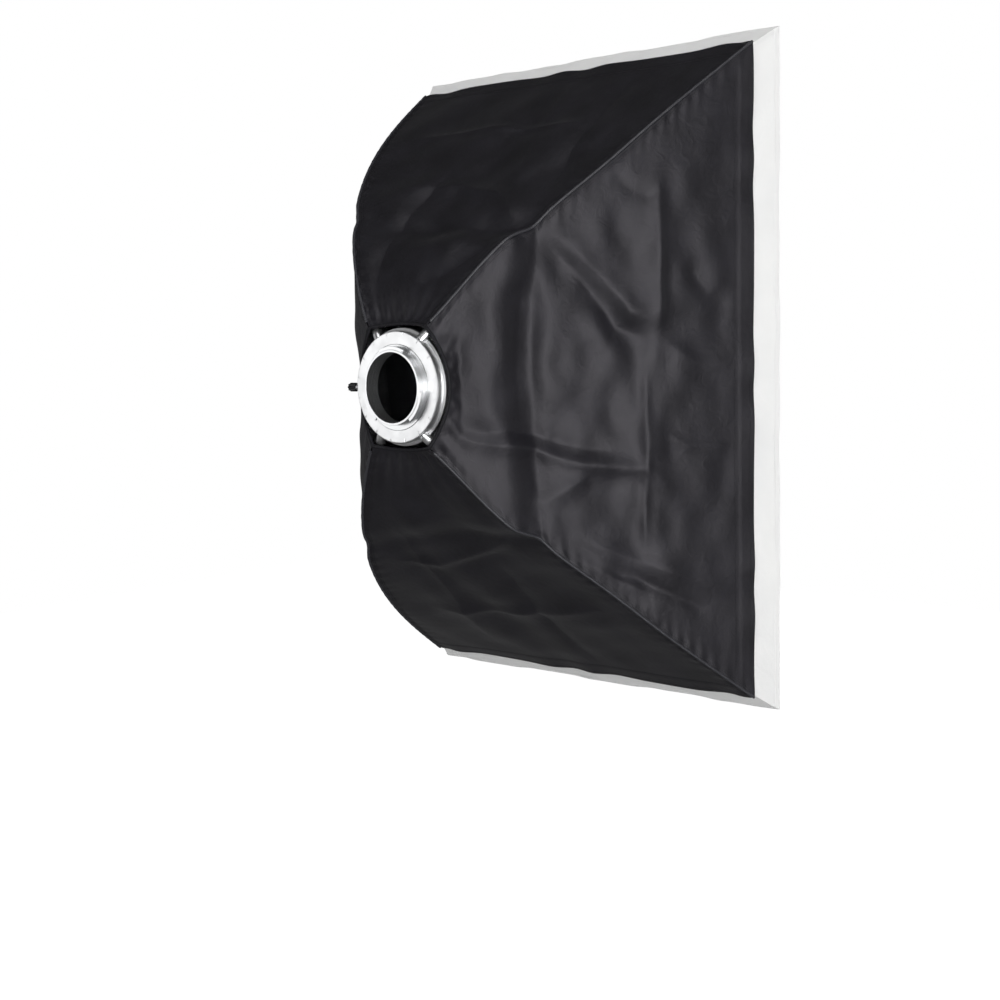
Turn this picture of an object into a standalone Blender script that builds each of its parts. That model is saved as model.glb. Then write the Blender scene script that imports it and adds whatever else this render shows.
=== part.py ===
"""Studio softbox, 60 by 90 cm, carried on a turning bayonet ring.

Metres, +Z up. The light leaves along -Y and the lamp head sits at +Y. The origin is the centre
of the bayonet's seat face. Depth is measured forward from that face, and left and right are as
seen from the front.
"""
import math

import bmesh
import bpy
from mathutils import Vector

# Overall shape of the cloth shell, measured at its front hem
FRONT_WIDTH = 0.600
FRONT_HEIGHT = 0.900
SHELL_DEPTH = 0.395

# Clearances between pieces that touch, and between pieces that turn on each other
GAP = 0.0003
TURNING_GAP = 0.0005

# Bayonet: bore, sleeve, seat, turning flange and three hooked lugs
BORE_RADIUS = 0.046
SLEEVE_WALL = 0.003
SEAT_WIDTH = 0.007
FLANGE_WIDTH = 0.0065
FLANGE_THICKNESS = 0.0045
SLEEVE_NOSE = 0.0056
LUG_HEIGHT = 0.0045
LUG_THICKNESS = 0.003
LUG_STANDOFF = 0.006
LUG_SETBACK = 0.0005
LUG_ANGLE = math.radians(48.0)
LUG_COUNT = 3

# Rod ring: a rear body, a wider front rim, and a recess for the retaining ring
RING_REAR = 0.0006
LIP_THICKNESS = 0.0013
STEP_WIDTH = 0.006
RING_WALL = 0.0045
RING_BODY_FRONT = 0.012
RIM_WALL = 0.008
RIM_FRONT = 0.018
RING_EDGE = 0.0022
RIM_CHAMFER = 0.001
SLOT_COUNT = 16
SLOT_WIDTH = 0.0022
SLOT_DEPTH = 0.0012
SLOT_LENGTH = 0.006

# Retaining ring and its screws
RETAINER_THICKNESS = 0.003
SCREW_ANGLE = math.radians(28.0)
SCREW_RADIUS = 0.0014
SCREW_LENGTH = 0.0045
SCREW_HEAD_RADIUS = 0.0024
SCREW_HEAD_HEIGHT = 0.0018

# Rods, sockets, end caps and corner pockets
ROD_RADIUS = 0.0025
SOCKET_WALL = 0.0037
SOCKET_LENGTH = 0.0155
SOCKET_TO_NECK = 0.005
ROD_END = 0.955
CAP_WALL = 0.0012
CAP_GRIP = 0.012
CAP_NOSE = 0.003
POCKET_WALL = 0.001
POCKET_LENGTH = 0.024

# Swivel lock: a thumb screw through the ring's body
LOCK_RADIUS = 0.002
LOCK_BOSS_WALL = 0.0015
LOCK_BOSS_HEIGHT = 0.003
KNOB_RADIUS = 0.0060
KNOB_LENGTH = 0.012
KNOB_BITE = 0.0078
KNOB_LOBES = 8
KNOB_FLUTE = 0.0006

# Cloth shell: seams bowed out from their chords by the sprung rods, with a hem round the neck
CLOTH = 0.001
BOW = {"left": 0.014, "right": 0.062}
NECK_STEP = 0.019
NECK_DEPTH = 0.005
NECK_REACH = 0.08
RIM_SPACE = 0.0035
RIM_BLEND = 0.004
PIPING_RADIUS = 0.0018
HEM_RADIUS = 0.0016
BELLY = 0.014

# Folds left by packing: each panel has one across and one along, as place, width and height
FOLD_ACROSS = (0.69, 0.045, 0.0035)
FOLD_ALONG = (0.33, 0.060, 0.0030)

# Front cover: white band, face cloth and the hook-and-loop tape that holds it
BAND_START = 0.94
COVER_DEPTH = 0.037
COVER_FLARE_SIDE = 0.018
COVER_FLARE_TOP = 0.022
FACE_GAP = 0.001
FACE_BELLY = 0.003
TAPE_THICKNESS = 0.0012
TAPE_START = 0.955
TAPE_END = 0.99
TAPE_CORNER_CLEAR = 0.050

# Inner baffle on four elastic loops
BAFFLE_DEPTH = 0.220
BAFFLE_MARGIN = 0.030
BAFFLE_BELLY = 0.006
STRAP_RADIUS = 0.0012

# Facet counts
TURNED_STEPS = 64
SMALL_STEPS = 20
PANEL_ROWS = 18
PANEL_COLUMNS = 12
ROD_POINTS = 18

# Sizes that follow from the ones above
SLEEVE_RADIUS = BORE_RADIUS + SLEEVE_WALL
SEAT_RADIUS = SLEEVE_RADIUS + SEAT_WIDTH
FLANGE_RADIUS = SEAT_RADIUS + FLANGE_WIDTH
LUG_RADIUS = SLEEVE_RADIUS + LUG_HEIGHT
RECESS_RADIUS = FLANGE_RADIUS + TURNING_GAP + STEP_WIDTH
RING_BODY_RADIUS = RECESS_RADIUS + RING_WALL
RIM_RADIUS = RECESS_RADIUS + RIM_WALL
SCREW_PITCH_RADIUS = RECESS_RADIUS - 0.5 * STEP_WIDTH
LIP_FRONT = RING_REAR + LIP_THICKNESS
FLANGE_REAR = LIP_FRONT + TURNING_GAP
FLANGE_FRONT = FLANGE_REAR + FLANGE_THICKNESS
SLEEVE_FRONT = FLANGE_FRONT + SLEEVE_NOSE
STEP_DEPTH = FLANGE_FRONT + TURNING_GAP - GAP
RETAINER_REAR = STEP_DEPTH + GAP
RETAINER_FRONT = RETAINER_REAR + RETAINER_THICKNESS
LOCK_DEPTH = 0.5 * (FLANGE_REAR + FLANGE_FRONT)
ROD_BORE = ROD_RADIUS + GAP
SOCKET_RADIUS = ROD_BORE + SOCKET_WALL
CAP_RADIUS = ROD_BORE + CAP_WALL
POCKET_BORE = CAP_RADIUS + GAP
POCKET_RADIUS = POCKET_BORE + POCKET_WALL
NECK_RADIUS = RIM_RADIUS + NECK_STEP
HUG_RADIUS = RIM_RADIUS + RIM_SPACE
HEM_SETBACK = HEM_RADIUS + 2.0 * CLOTH
NECK_DIP = LOCK_DEPTH + KNOB_RADIUS + HEM_SETBACK + HEM_RADIUS + 2.0 * GAP - NECK_DEPTH
SEAM_MARGIN = PIPING_RADIUS + 1.5 * CLOTH
FRONT_DIAGONAL = math.hypot(FRONT_WIDTH, FRONT_HEIGHT)
SEAM_TO_ROD = (POCKET_RADIUS + CLOTH + 3.0 * GAP) * FRONT_DIAGONAL / min(FRONT_WIDTH, FRONT_HEIGHT)
BEAM_PEAK = 2.0 / (3.0 * math.sqrt(3.0))

FORWARD = Vector((0.0, -1.0, 0.0))
CORNERS = {
    "top_left": Vector((-1.0, 0.0, 1.0)),
    "top_right": Vector((1.0, 0.0, 1.0)),
    "bottom_right": Vector((1.0, 0.0, -1.0)),
    "bottom_left": Vector((-1.0, 0.0, -1.0)),
}
PANELS = {
    "top": ("top_left", "top_right", Vector((0.0, 0.0, 1.0))),
    "right": ("top_right", "bottom_right", Vector((1.0, 0.0, 0.0))),
    "bottom": ("bottom_right", "bottom_left", Vector((0.0, 0.0, -1.0))),
    "left": ("bottom_left", "top_left", Vector((-1.0, 0.0, 0.0))),
}


# Scene, materials and object helpers
for leftover in list(bpy.data.objects):
    bpy.data.objects.remove(leftover, do_unlink=True)

PARTS = bpy.data.collections.new("studio_softbox")
CUTTERS = bpy.data.collections.new("cutters")
bpy.context.scene.collection.children.link(PARTS)
bpy.context.scene.collection.children.link(CUTTERS)


def material(name, colour, roughness, metallic):
    made = bpy.data.materials.new(name)
    made.use_nodes = True
    shader = made.node_tree.nodes["Principled BSDF"]
    shader.inputs["Base Color"].default_value = (*colour, 1.0)
    shader.inputs["Roughness"].default_value = roughness
    shader.inputs["Metallic"].default_value = metallic
    return made


def place(name, data, look, hidden=False):
    obj = bpy.data.objects.new(name, data)
    if look is not None:
        data.materials.append(look)
    if hidden:
        CUTTERS.objects.link(obj)
        obj.hide_render = True
        obj.display_type = "WIRE"
    else:
        PARTS.objects.link(obj)
    return obj


def aim(obj, origin, direction):
    """Put the object's own Z along the direction, starting from the origin."""
    obj.rotation_mode = "QUATERNION"
    obj.location = origin
    obj.rotation_quaternion = direction.to_track_quat("Z", "Y")
    return obj


def smooth(mesh):
    mesh.shade_smooth()
    mesh.set_sharp_from_angle(angle=math.radians(35.0))


def turned(name, profile, look, steps=TURNED_STEPS):
    """Turn a closed (radius, height) profile about its own Z."""
    mesh = bpy.data.meshes.new(name)
    edges = [(i, (i + 1) % len(profile)) for i in range(len(profile))]
    mesh.from_pydata([(radius, 0.0, height) for radius, height in profile], edges, [])
    obj = place(name, mesh, look)
    screw = obj.modifiers.new("turn", "SCREW")
    screw.axis = "Z"
    screw.steps = steps
    screw.render_steps = steps
    screw.use_merge_vertices = True
    screw.merge_threshold = 0.00001
    screw.use_smooth_shade = True
    return obj


def cylinder_mesh(name, radius, length, steps=SMALL_STEPS):
    """A cylinder from its own origin along +Z."""
    mesh = bpy.data.meshes.new(name)
    shape = bmesh.new()
    bmesh.ops.create_cone(shape, cap_ends=True, segments=steps, radius1=radius, radius2=radius, depth=length)
    bmesh.ops.translate(shape, verts=shape.verts, vec=(0.0, 0.0, 0.5 * length))
    shape.to_mesh(mesh)
    shape.free()
    smooth(mesh)
    return mesh


def tool_cylinder(name, radius, length, origin, direction, steps=SMALL_STEPS):
    tool = place(name, cylinder_mesh(name, radius, length, steps), None, hidden=True)
    return aim(tool, origin, direction)


def combine(target, tool, operation):
    step = target.modifiers.new(tool.name, "BOOLEAN")
    step.operation = operation
    step.solver = "EXACT"
    step.object = tool


def outline(name, points, thickness, look, hidden=False):
    """A flat closed outline with the thickness centred on its own XY plane, as a welded mesh."""
    curve = bpy.data.curves.new(name, "CURVE")
    curve.dimensions = "2D"
    curve.fill_mode = "BOTH"
    curve.extrude = 0.5 * thickness
    spline = curve.splines.new("POLY")
    spline.points.add(len(points) - 1)
    for point, (x, y) in zip(spline.points, points):
        point.co = (x, y, 0.0, 1.0)
    spline.use_cyclic_u = True
    drawn = place(name + "_outline", curve, None, hidden=True)
    graph = bpy.context.evaluated_depsgraph_get()
    mesh = bpy.data.meshes.new_from_object(drawn.evaluated_get(graph))
    bpy.data.objects.remove(drawn, do_unlink=True)
    shape = bmesh.new()
    shape.from_mesh(mesh)
    bmesh.ops.remove_doubles(shape, verts=shape.verts, dist=0.00001)
    bmesh.ops.recalc_face_normals(shape, faces=shape.faces)
    shape.to_mesh(mesh)
    shape.free()
    return place(name, mesh, look, hidden)


def tube(name, points, radius, look, closed=False):
    curve = bpy.data.curves.new(name, "CURVE")
    curve.dimensions = "3D"
    curve.bevel_depth = radius
    curve.bevel_resolution = 2
    curve.use_fill_caps = not closed
    spline = curve.splines.new("POLY")
    spline.points.add(len(points) - 1)
    for point, place_at in zip(spline.points, points):
        point.co = (*place_at, 1.0)
    spline.use_cyclic_u = closed
    spline.use_smooth = True
    return place(name, curve, look)


def cloth(name, surface, rows, columns, thickness, look):
    """A sheet over surface(s, t), both from 0 to 1, thickened away from its outer face."""
    mesh = bpy.data.meshes.new(name)
    shape = bmesh.new()
    bmesh.ops.create_grid(shape, x_segments=rows, y_segments=columns, size=1.0)
    for vert in shape.verts:
        vert.co = surface(0.5 * (vert.co.x + 1.0), 0.5 * (vert.co.y + 1.0))
    shape.to_mesh(mesh)
    shape.free()
    mesh.shade_smooth()
    obj = place(name, mesh, look)
    wall = obj.modifiers.new("thickness", "SOLIDIFY")
    wall.thickness = thickness
    wall.offset = -1.0
    wall.use_even_offset = True
    return obj


def around(angle):
    """Unit vector out from the ring's axis; zero points along +X, a quarter turn along +Z."""
    return Vector((math.cos(angle), 0.0, math.sin(angle)))


# Seam, rod and panel geometry
def corner_direction(corner):
    sign = CORNERS[corner]
    return Vector((sign.x * FRONT_WIDTH, 0.0, sign.z * FRONT_HEIGHT)).normalized()


def front_corner(corner, side_spread=0.0, top_spread=0.0):
    sign = CORNERS[corner]
    half_width = 0.5 * FRONT_WIDTH + side_spread
    half_height = 0.5 * FRONT_HEIGHT + top_spread
    return Vector((sign.x * half_width, 0.0, sign.z * half_height))


def backward_normal(along, out):
    """Normal to a seam in its own plane, pointing out of the shell."""
    return (out * along.dot(FORWARD) - FORWARD * along.dot(out)).normalized()


def seam_chord(corner):
    out = corner_direction(corner)
    start = out * NECK_RADIUS + FORWARD * NECK_DEPTH
    chord = front_corner(corner) + FORWARD * SHELL_DEPTH - start
    bow = BOW["right" if out.x > 0.0 else "left"]
    return start, chord, backward_normal(chord, out) * (bow / BEAM_PEAK)


def seam_point(corner, u):
    start, chord, bowed = seam_chord(corner)
    return start + chord * u + bowed * (u * (1.0 - u) * (2.0 - u))


def seam_tangent(corner, u):
    _, chord, bowed = seam_chord(corner)
    return (chord + bowed * (2.0 - 6.0 * u + 3.0 * u * u)).normalized()


def rod_point(corner, u):
    inward = backward_normal(seam_tangent(corner, u), corner_direction(corner))
    return seam_point(corner, u) - inward * SEAM_TO_ROD


def fold(at, shape):
    """Height of a soft ridge at a place along the panel."""
    middle, width, height = shape
    return height * math.exp(-(((at - middle) / width) ** 2))


def panel_point(side, u, t, margin=SEAM_MARGIN):
    """Outer face of a panel: u runs from neck to hem, t from its first seam to its second."""
    first, second, out = PANELS[side]
    a = seam_point(first, u)
    b = seam_point(second, u)
    inset = margin / (b - a).length
    base = a.lerp(b, inset + t * (1.0 - 2.0 * inset))
    crown = 4.0 * t * (1.0 - t)
    reach = (0.5 * (a + b)).dot(out)
    half = 0.5 * (HUG_RADIUS - reach)
    hug = half + math.sqrt(half * half + RIM_BLEND * RIM_BLEND)
    near_neck = math.exp(-((u / NECK_REACH) ** 2))
    belly = BELLY * math.sin(math.pi * u) * (1.0 - near_neck)
    folds = crown * math.sin(math.pi * u) * (fold(u, FOLD_ACROSS) + fold(t, FOLD_ALONG))
    return base + out * (crown * (hug - belly) + folds) + FORWARD * (NECK_DIP * crown * near_neck)


def panel_normal(side, u, t):
    step = 0.002
    along = panel_point(side, min(u + step, 1.0), t) - panel_point(side, max(u - step, 0.0), t)
    across = panel_point(side, u, min(t + step, 1.0)) - panel_point(side, u, max(t - step, 0.0))
    return along.cross(across).normalized()


def inner_point(side, u, t, inset):
    """A point a set distance inside the panel's outer face."""
    return panel_point(side, u, t) - panel_normal(side, u, t) * inset


def edge_share(side, u, length):
    """The share of a panel's width at u that a length takes."""
    first, second, _ = PANELS[side]
    return length / (seam_point(second, u) - seam_point(first, u)).length


# Looks
BRIGHT_METAL = material("brushed_aluminium", (0.78, 0.78, 0.79), 0.32, 1.0)
CAST_METAL = material("satin_cast_aluminium", (0.70, 0.70, 0.71), 0.38, 1.0)
STEEL = material("zinc_plated_steel", (0.58, 0.58, 0.59), 0.35, 1.0)
SPRING_STEEL = material("spring_steel_rod", (0.50, 0.50, 0.51), 0.30, 1.0)
BLACK_PLASTIC = material("black_plastic", (0.02, 0.02, 0.02), 0.45, 0.0)
BLACK_CLOTH = material("black_nylon_cloth", (0.025, 0.025, 0.028), 0.80, 0.0)
BLACK_TRIM = material("black_piping_tape", (0.018, 0.018, 0.020), 0.85, 0.0)
WHITE_CLOTH = material("white_diffusion_cloth", (0.86, 0.86, 0.85), 0.75, 0.0)
WHITE_TAPE = material("white_hook_tape", (0.80, 0.80, 0.79), 0.90, 0.0)
ELASTIC = material("white_elastic_cord", (0.82, 0.82, 0.80), 0.85, 0.0)


# Bayonet insert with its three lugs
def make_insert():
    lug_rear = -(LUG_STANDOFF + LUG_THICKNESS)
    rear = lug_rear - LUG_SETBACK
    profile = [
        (SLEEVE_RADIUS, SLEEVE_FRONT),
        (SLEEVE_RADIUS, FLANGE_FRONT),
        (FLANGE_RADIUS, FLANGE_FRONT),
        (FLANGE_RADIUS, FLANGE_REAR),
        (SEAT_RADIUS, FLANGE_REAR),
        (SEAT_RADIUS, 0.0),
        (SLEEVE_RADIUS, 0.0),
        (SLEEVE_RADIUS, rear),
        (BORE_RADIUS, rear),
        (BORE_RADIUS, SLEEVE_FRONT),
    ]
    insert = aim(turned("bayonet_insert", profile, BRIGHT_METAL), Vector((0.0, 0.0, 0.0)), FORWARD)
    root_radius = 0.5 * (BORE_RADIUS + SLEEVE_RADIUS)
    for index in range(LUG_COUNT):
        middle = 0.5 * math.pi + index * 2.0 * math.pi / LUG_COUNT
        turn = [middle + LUG_ANGLE * (k / 8.0 - 0.5) for k in range(9)]
        rim = [(LUG_RADIUS * math.cos(a), LUG_RADIUS * math.sin(a)) for a in turn]
        root = [(root_radius * math.cos(a), root_radius * math.sin(a)) for a in reversed(turn)]
        lug = outline(f"lug_{index + 1}", rim + root, LUG_THICKNESS, None, hidden=True)
        aim(lug, FORWARD * (lug_rear + 0.5 * LUG_THICKNESS), FORWARD)
        combine(insert, lug, "UNION")


# Rod ring with four sockets, rim slots, screw holes and the lock boss
def socket_axis(corner):
    """The mouth of a rod socket and the direction out of it."""
    along = seam_tangent(corner, 0.0)
    return rod_point(corner, 0.0) - along * SOCKET_TO_NECK, along


def screw_places():
    for angle in (SCREW_ANGLE, math.pi - SCREW_ANGLE, math.pi + SCREW_ANGLE, -SCREW_ANGLE):
        yield around(angle) * SCREW_PITCH_RADIUS


def make_rod_ring():
    profile = [
        (RIM_RADIUS, RIM_FRONT),
        (RIM_RADIUS, RING_BODY_FRONT),
        (RING_BODY_RADIUS, RING_BODY_FRONT - RIM_CHAMFER),
        (RING_BODY_RADIUS, RING_REAR + RING_EDGE),
        (RING_BODY_RADIUS - 0.3 * RING_EDGE, RING_REAR + 0.3 * RING_EDGE),
        (RING_BODY_RADIUS - RING_EDGE, RING_REAR),
        (SEAT_RADIUS + TURNING_GAP, RING_REAR),
        (SEAT_RADIUS + TURNING_GAP, LIP_FRONT),
        (FLANGE_RADIUS + TURNING_GAP, LIP_FRONT),
        (FLANGE_RADIUS + TURNING_GAP, STEP_DEPTH),
        (RECESS_RADIUS, STEP_DEPTH),
        (RECESS_RADIUS, RIM_FRONT),
    ]
    ring = aim(turned("rod_ring", profile, CAST_METAL), Vector((0.0, 0.0, 0.0)), FORWARD)
    for corner in CORNERS:
        mouth, along = socket_axis(corner)
        out = corner_direction(corner)
        root_radius = RECESS_RADIUS + GAP + SOCKET_RADIUS * along.dot(FORWARD)
        length = (mouth.dot(out) - root_radius) / along.dot(out)
        boss = tool_cylinder(f"boss_{corner}", SOCKET_RADIUS, length, mouth - along * length, along, 24)
        combine(ring, boss, "UNION")
    root = 0.5 * RING_WALL
    lock_base = FORWARD * LOCK_DEPTH + around(0.0) * (RING_BODY_RADIUS - root)
    boss_radius = LOCK_RADIUS + GAP + LOCK_BOSS_WALL
    lock_boss = tool_cylinder("lock_boss", boss_radius, LOCK_BOSS_HEIGHT + root, lock_base, around(0.0))
    combine(ring, lock_boss, "UNION")
    for corner in CORNERS:
        mouth, along = socket_axis(corner)
        floor = mouth - along * SOCKET_LENGTH
        bore = tool_cylinder(f"bore_{corner}", ROD_BORE, 2.0 * SOCKET_LENGTH, floor, along, 16)
        combine(ring, bore, "DIFFERENCE")
    hole_start = FORWARD * LOCK_DEPTH + around(0.0) * SEAT_RADIUS
    lock_hole = tool_cylinder("lock_hole", LOCK_RADIUS + GAP, RIM_RADIUS, hole_start, around(0.0), 16)
    combine(ring, lock_hole, "DIFFERENCE")
    for index, spot in enumerate(screw_places()):
        start = spot + FORWARD * (RETAINER_FRONT - SCREW_LENGTH - GAP)
        hole = tool_cylinder(f"tapped_{index + 1}", SCREW_RADIUS + GAP, 2.0 * SCREW_LENGTH, start, FORWARD, 12)
        combine(ring, hole, "DIFFERENCE")
    mesh = bpy.data.meshes.new("rim_slots")
    shape = bmesh.new()
    for index in range(SLOT_COUNT):
        angle = (index + 0.5) * 2.0 * math.pi / SLOT_COUNT
        box = bmesh.ops.create_cube(shape, size=1.0)["verts"]
        bmesh.ops.scale(shape, verts=box, vec=(2.0 * SLOT_LENGTH, 2.0 * SLOT_DEPTH, SLOT_WIDTH))
        bmesh.ops.translate(shape, verts=box, vec=(RING_BODY_RADIUS, -RING_REAR, 0.0))
        turn = around(angle).to_track_quat("X", "Y").to_matrix()
        bmesh.ops.rotate(shape, verts=box, cent=(0.0, 0.0, 0.0), matrix=turn)
    shape.to_mesh(mesh)
    shape.free()
    combine(ring, place("rim_slots", mesh, None, hidden=True), "DIFFERENCE")


def make_retainer():
    rear = RETAINER_REAR
    front = RETAINER_FRONT
    inner = SLEEVE_RADIUS + 2.0 * TURNING_GAP
    outer = RECESS_RADIUS - GAP
    profile = [(outer, front), (outer, rear), (inner, rear), (inner, front)]
    retainer = aim(turned("retaining_ring", profile, BRIGHT_METAL), Vector((0.0, 0.0, 0.0)), FORWARD)
    screw_profile = [
        (SCREW_HEAD_RADIUS * 0.6, SCREW_HEAD_HEIGHT),
        (SCREW_HEAD_RADIUS, 0.5 * SCREW_HEAD_HEIGHT),
        (SCREW_HEAD_RADIUS, 0.0),
        (SCREW_RADIUS, 0.0),
        (SCREW_RADIUS, -SCREW_LENGTH),
        (0.0, -SCREW_LENGTH),
        (0.0, SCREW_HEAD_HEIGHT),
    ]
    for index, spot in enumerate(screw_places()):
        hole = tool_cylinder(
            f"clearance_{index + 1}", SCREW_RADIUS + GAP, 2.0 * RETAINER_THICKNESS,
            spot + FORWARD * (rear - 0.5 * RETAINER_THICKNESS), FORWARD, 12,
        )
        combine(retainer, hole, "DIFFERENCE")
        screw = turned(f"retaining_screw_{index + 1}", screw_profile, STEEL, 12)
        aim(screw, spot + FORWARD * (front + GAP), FORWARD)


# Swivel lock: stud and lobed knob on the ring's right side
def make_lock():
    out = around(0.0)
    base = FORWARD * LOCK_DEPTH
    tip = FLANGE_RADIUS + TURNING_GAP
    knob_start = RING_BODY_RADIUS + LOCK_BOSS_HEIGHT + 2.0 * TURNING_GAP
    stud_end = knob_start + KNOB_BITE
    stud = place("lock_screw", cylinder_mesh("lock_screw", LOCK_RADIUS, stud_end - tip, 16), STEEL)
    aim(stud, base + out * tip, out)
    count = KNOB_LOBES * 6
    rim = []
    for k in range(count):
        angle = 2.0 * math.pi * k / count
        radius = KNOB_RADIUS - KNOB_FLUTE + KNOB_FLUTE * math.cos(KNOB_LOBES * angle)
        rim.append((radius * math.cos(angle), radius * math.sin(angle)))
    knob = outline("lock_knob", rim, KNOB_LENGTH, BLACK_PLASTIC)
    aim(knob, base + out * (knob_start + 0.5 * KNOB_LENGTH), out)
    hole = tool_cylinder(
        "knob_hole", LOCK_RADIUS + GAP, stud_end - tip, base + out * (tip + TURNING_GAP), out, 16
    )
    combine(knob, hole, "DIFFERENCE")


# Sprung rods with their end caps and corner pockets
def make_rods():
    cap_profile = [
        (0.55 * CAP_RADIUS, CAP_NOSE),
        (CAP_RADIUS, 0.3 * CAP_NOSE),
        (CAP_RADIUS, -CAP_GRIP),
        (ROD_BORE, -CAP_GRIP),
        (ROD_BORE, 0.0),
        (0.0, 0.0),
        (0.0, CAP_NOSE),
    ]
    pocket_profile = [
        (0.7 * POCKET_RADIUS, POCKET_WALL),
        (POCKET_RADIUS, -POCKET_WALL),
        (POCKET_RADIUS, -POCKET_LENGTH),
        (POCKET_BORE, -POCKET_LENGTH),
        (POCKET_BORE, 0.0),
        (0.0, 0.0),
        (0.0, POCKET_WALL),
    ]
    for corner in CORNERS:
        mouth, along = socket_axis(corner)
        path = [mouth - along * (SOCKET_LENGTH - GAP)]
        path += [rod_point(corner, ROD_END * k / (ROD_POINTS - 1)) for k in range(ROD_POINTS)]
        tube(f"rod_{corner}", path, ROD_RADIUS, SPRING_STEEL)
        end = path[-1]
        out = seam_tangent(corner, ROD_END)
        cap = turned(f"rod_cap_{corner}", cap_profile, BLACK_PLASTIC, SMALL_STEPS)
        aim(cap, end + out * GAP, out)
        pocket = turned(f"corner_pocket_{corner}", pocket_profile, BLACK_TRIM, SMALL_STEPS)
        aim(pocket, end + out * (CAP_NOSE + 2.0 * GAP), out)


# Black shell: four panels, piped seams and the neck hem
def make_shell():
    for side in PANELS:
        def face(s, t, side=side):
            return panel_point(side, s, t)
        cloth(f"panel_{side}", face, PANEL_ROWS, PANEL_COLUMNS, CLOTH, BLACK_CLOTH)
    for corner in CORNERS:
        line = [seam_point(corner, 0.012 + 0.984 * k / ROD_POINTS) for k in range(ROD_POINTS + 1)]
        tube(f"seam_piping_{corner}", line, PIPING_RADIUS, BLACK_TRIM)
    loop = []
    for side in PANELS:
        for k in range(PANEL_COLUMNS + 1):
            t = k / PANEL_COLUMNS
            along = panel_point(side, 0.01, t) - panel_point(side, 0.0, t)
            loop.append(inner_point(side, 0.0, t, 0.5 * CLOTH) - along.normalized() * HEM_SETBACK)
    tube("neck_hem", loop, HEM_RADIUS, BLACK_TRIM, closed=True)


# White front cover with its hook-and-loop tape
def make_front_cover():
    loop_inset = CLOTH + GAP
    hook_inset = loop_inset + TAPE_THICKNESS + GAP
    band_inset = hook_inset + TAPE_THICKNESS + GAP
    hem_share = 0.40
    for side in PANELS:
        first, second, _ = PANELS[side]
        clear = edge_share(side, 1.0, TAPE_CORNER_CLEAR)
        mitre = edge_share(side, 1.0, band_inset + CLOTH + 2.0 * GAP - SEAM_MARGIN)

        def strip(s, t, inset, side=side, clear=clear):
            u = TAPE_START + (TAPE_END - TAPE_START) * s
            return inner_point(side, u, clear + t * (1.0 - 2.0 * clear), inset)

        def loop_face(s, t, strip=strip):
            return strip(s, t, loop_inset)

        def hook_face(s, t, strip=strip):
            return strip(s, t, hook_inset)

        def band_face(s, t, side=side, first=first, second=second, clear=clear, mitre=mitre):
            short = clear + (mitre - clear) * min(s / hem_share, 1.0)
            u = min(BAND_START + (1.0 - BAND_START) * s / hem_share, 1.0)
            inside = inner_point(side, u, short + t * (1.0 - 2.0 * short), band_inset)
            if s <= hem_share:
                return inside
            a = front_corner(first, COVER_FLARE_SIDE, COVER_FLARE_TOP)
            b = front_corner(second, COVER_FLARE_SIDE, COVER_FLARE_TOP)
            trim = 2.0 * CLOTH / (b - a).length
            edge = a.lerp(b, trim + t * (1.0 - 2.0 * trim)) + FORWARD * (SHELL_DEPTH + COVER_DEPTH)
            return inside.lerp(edge, (s - hem_share) / (1.0 - hem_share))

        cloth(f"loop_tape_{side}", loop_face, 2, 8, TAPE_THICKNESS, BLACK_TRIM)
        cloth(f"hook_tape_{side}", hook_face, 2, 8, TAPE_THICKNESS, WHITE_TAPE)
        cloth(f"cover_band_{side}", band_face, 5, 10, CLOTH, WHITE_CLOTH)

    def front(s, t):
        x = (s - 0.5) * (FRONT_WIDTH + 2.0 * COVER_FLARE_SIDE)
        z = (t - 0.5) * (FRONT_HEIGHT + 2.0 * COVER_FLARE_TOP)
        crown = 16.0 * s * (1.0 - s) * t * (1.0 - t)
        depth = SHELL_DEPTH + COVER_DEPTH + FACE_GAP + CLOTH + FACE_BELLY * crown
        return Vector((x, 0.0, z)) + FORWARD * depth

    cloth("front_diffuser", front, 8, 12, CLOTH, WHITE_CLOTH)


# Inner baffle on elastic loops hooked over the rods
def rod_at_depth(corner, depth):
    low, high = 0.0, ROD_END
    for _ in range(40):
        middle = 0.5 * (low + high)
        if rod_point(corner, middle).dot(FORWARD) < depth:
            low = middle
        else:
            high = middle
    return rod_point(corner, low), seam_tangent(corner, low)


def make_baffle():
    rods = [rod_at_depth(corner, BAFFLE_DEPTH)[0] for corner in CORNERS]
    width = 2.0 * (min(abs(rod.x) for rod in rods) - BAFFLE_MARGIN)
    height = 2.0 * (min(abs(rod.z) for rod in rods) - BAFFLE_MARGIN)

    def face(s, t):
        x = (s - 0.5) * width
        z = (t - 0.5) * height
        crown = 16.0 * s * (1.0 - s) * t * (1.0 - t)
        return Vector((x, 0.0, z)) + FORWARD * (BAFFLE_DEPTH + BAFFLE_BELLY * crown)

    cloth("inner_baffle", face, 6, 8, CLOTH, WHITE_CLOTH)
    for corner, sign in CORNERS.items():
        tip = Vector((0.5 * sign.x * width, 0.0, 0.5 * sign.z * height))
        start = tip + FORWARD * (BAFFLE_DEPTH - 0.5 * CLOTH)
        rod, along = rod_at_depth(corner, BAFFLE_DEPTH)
        reach = rod - start
        toward = (reach - along * reach.dot(along)).normalized()
        aside = along.cross(toward)
        ring = ROD_RADIUS + GAP + STRAP_RADIUS
        path = [start + reach.normalized() * (STRAP_RADIUS + 2.0 * GAP)]
        for k in range(13):
            angle = math.radians(100.0 - 20.0 * k)
            path.append(rod + toward * (ring * math.cos(angle)) + aside * (ring * math.sin(angle)))
        tube(f"baffle_loop_{corner}", path, STRAP_RADIUS, ELASTIC)


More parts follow.
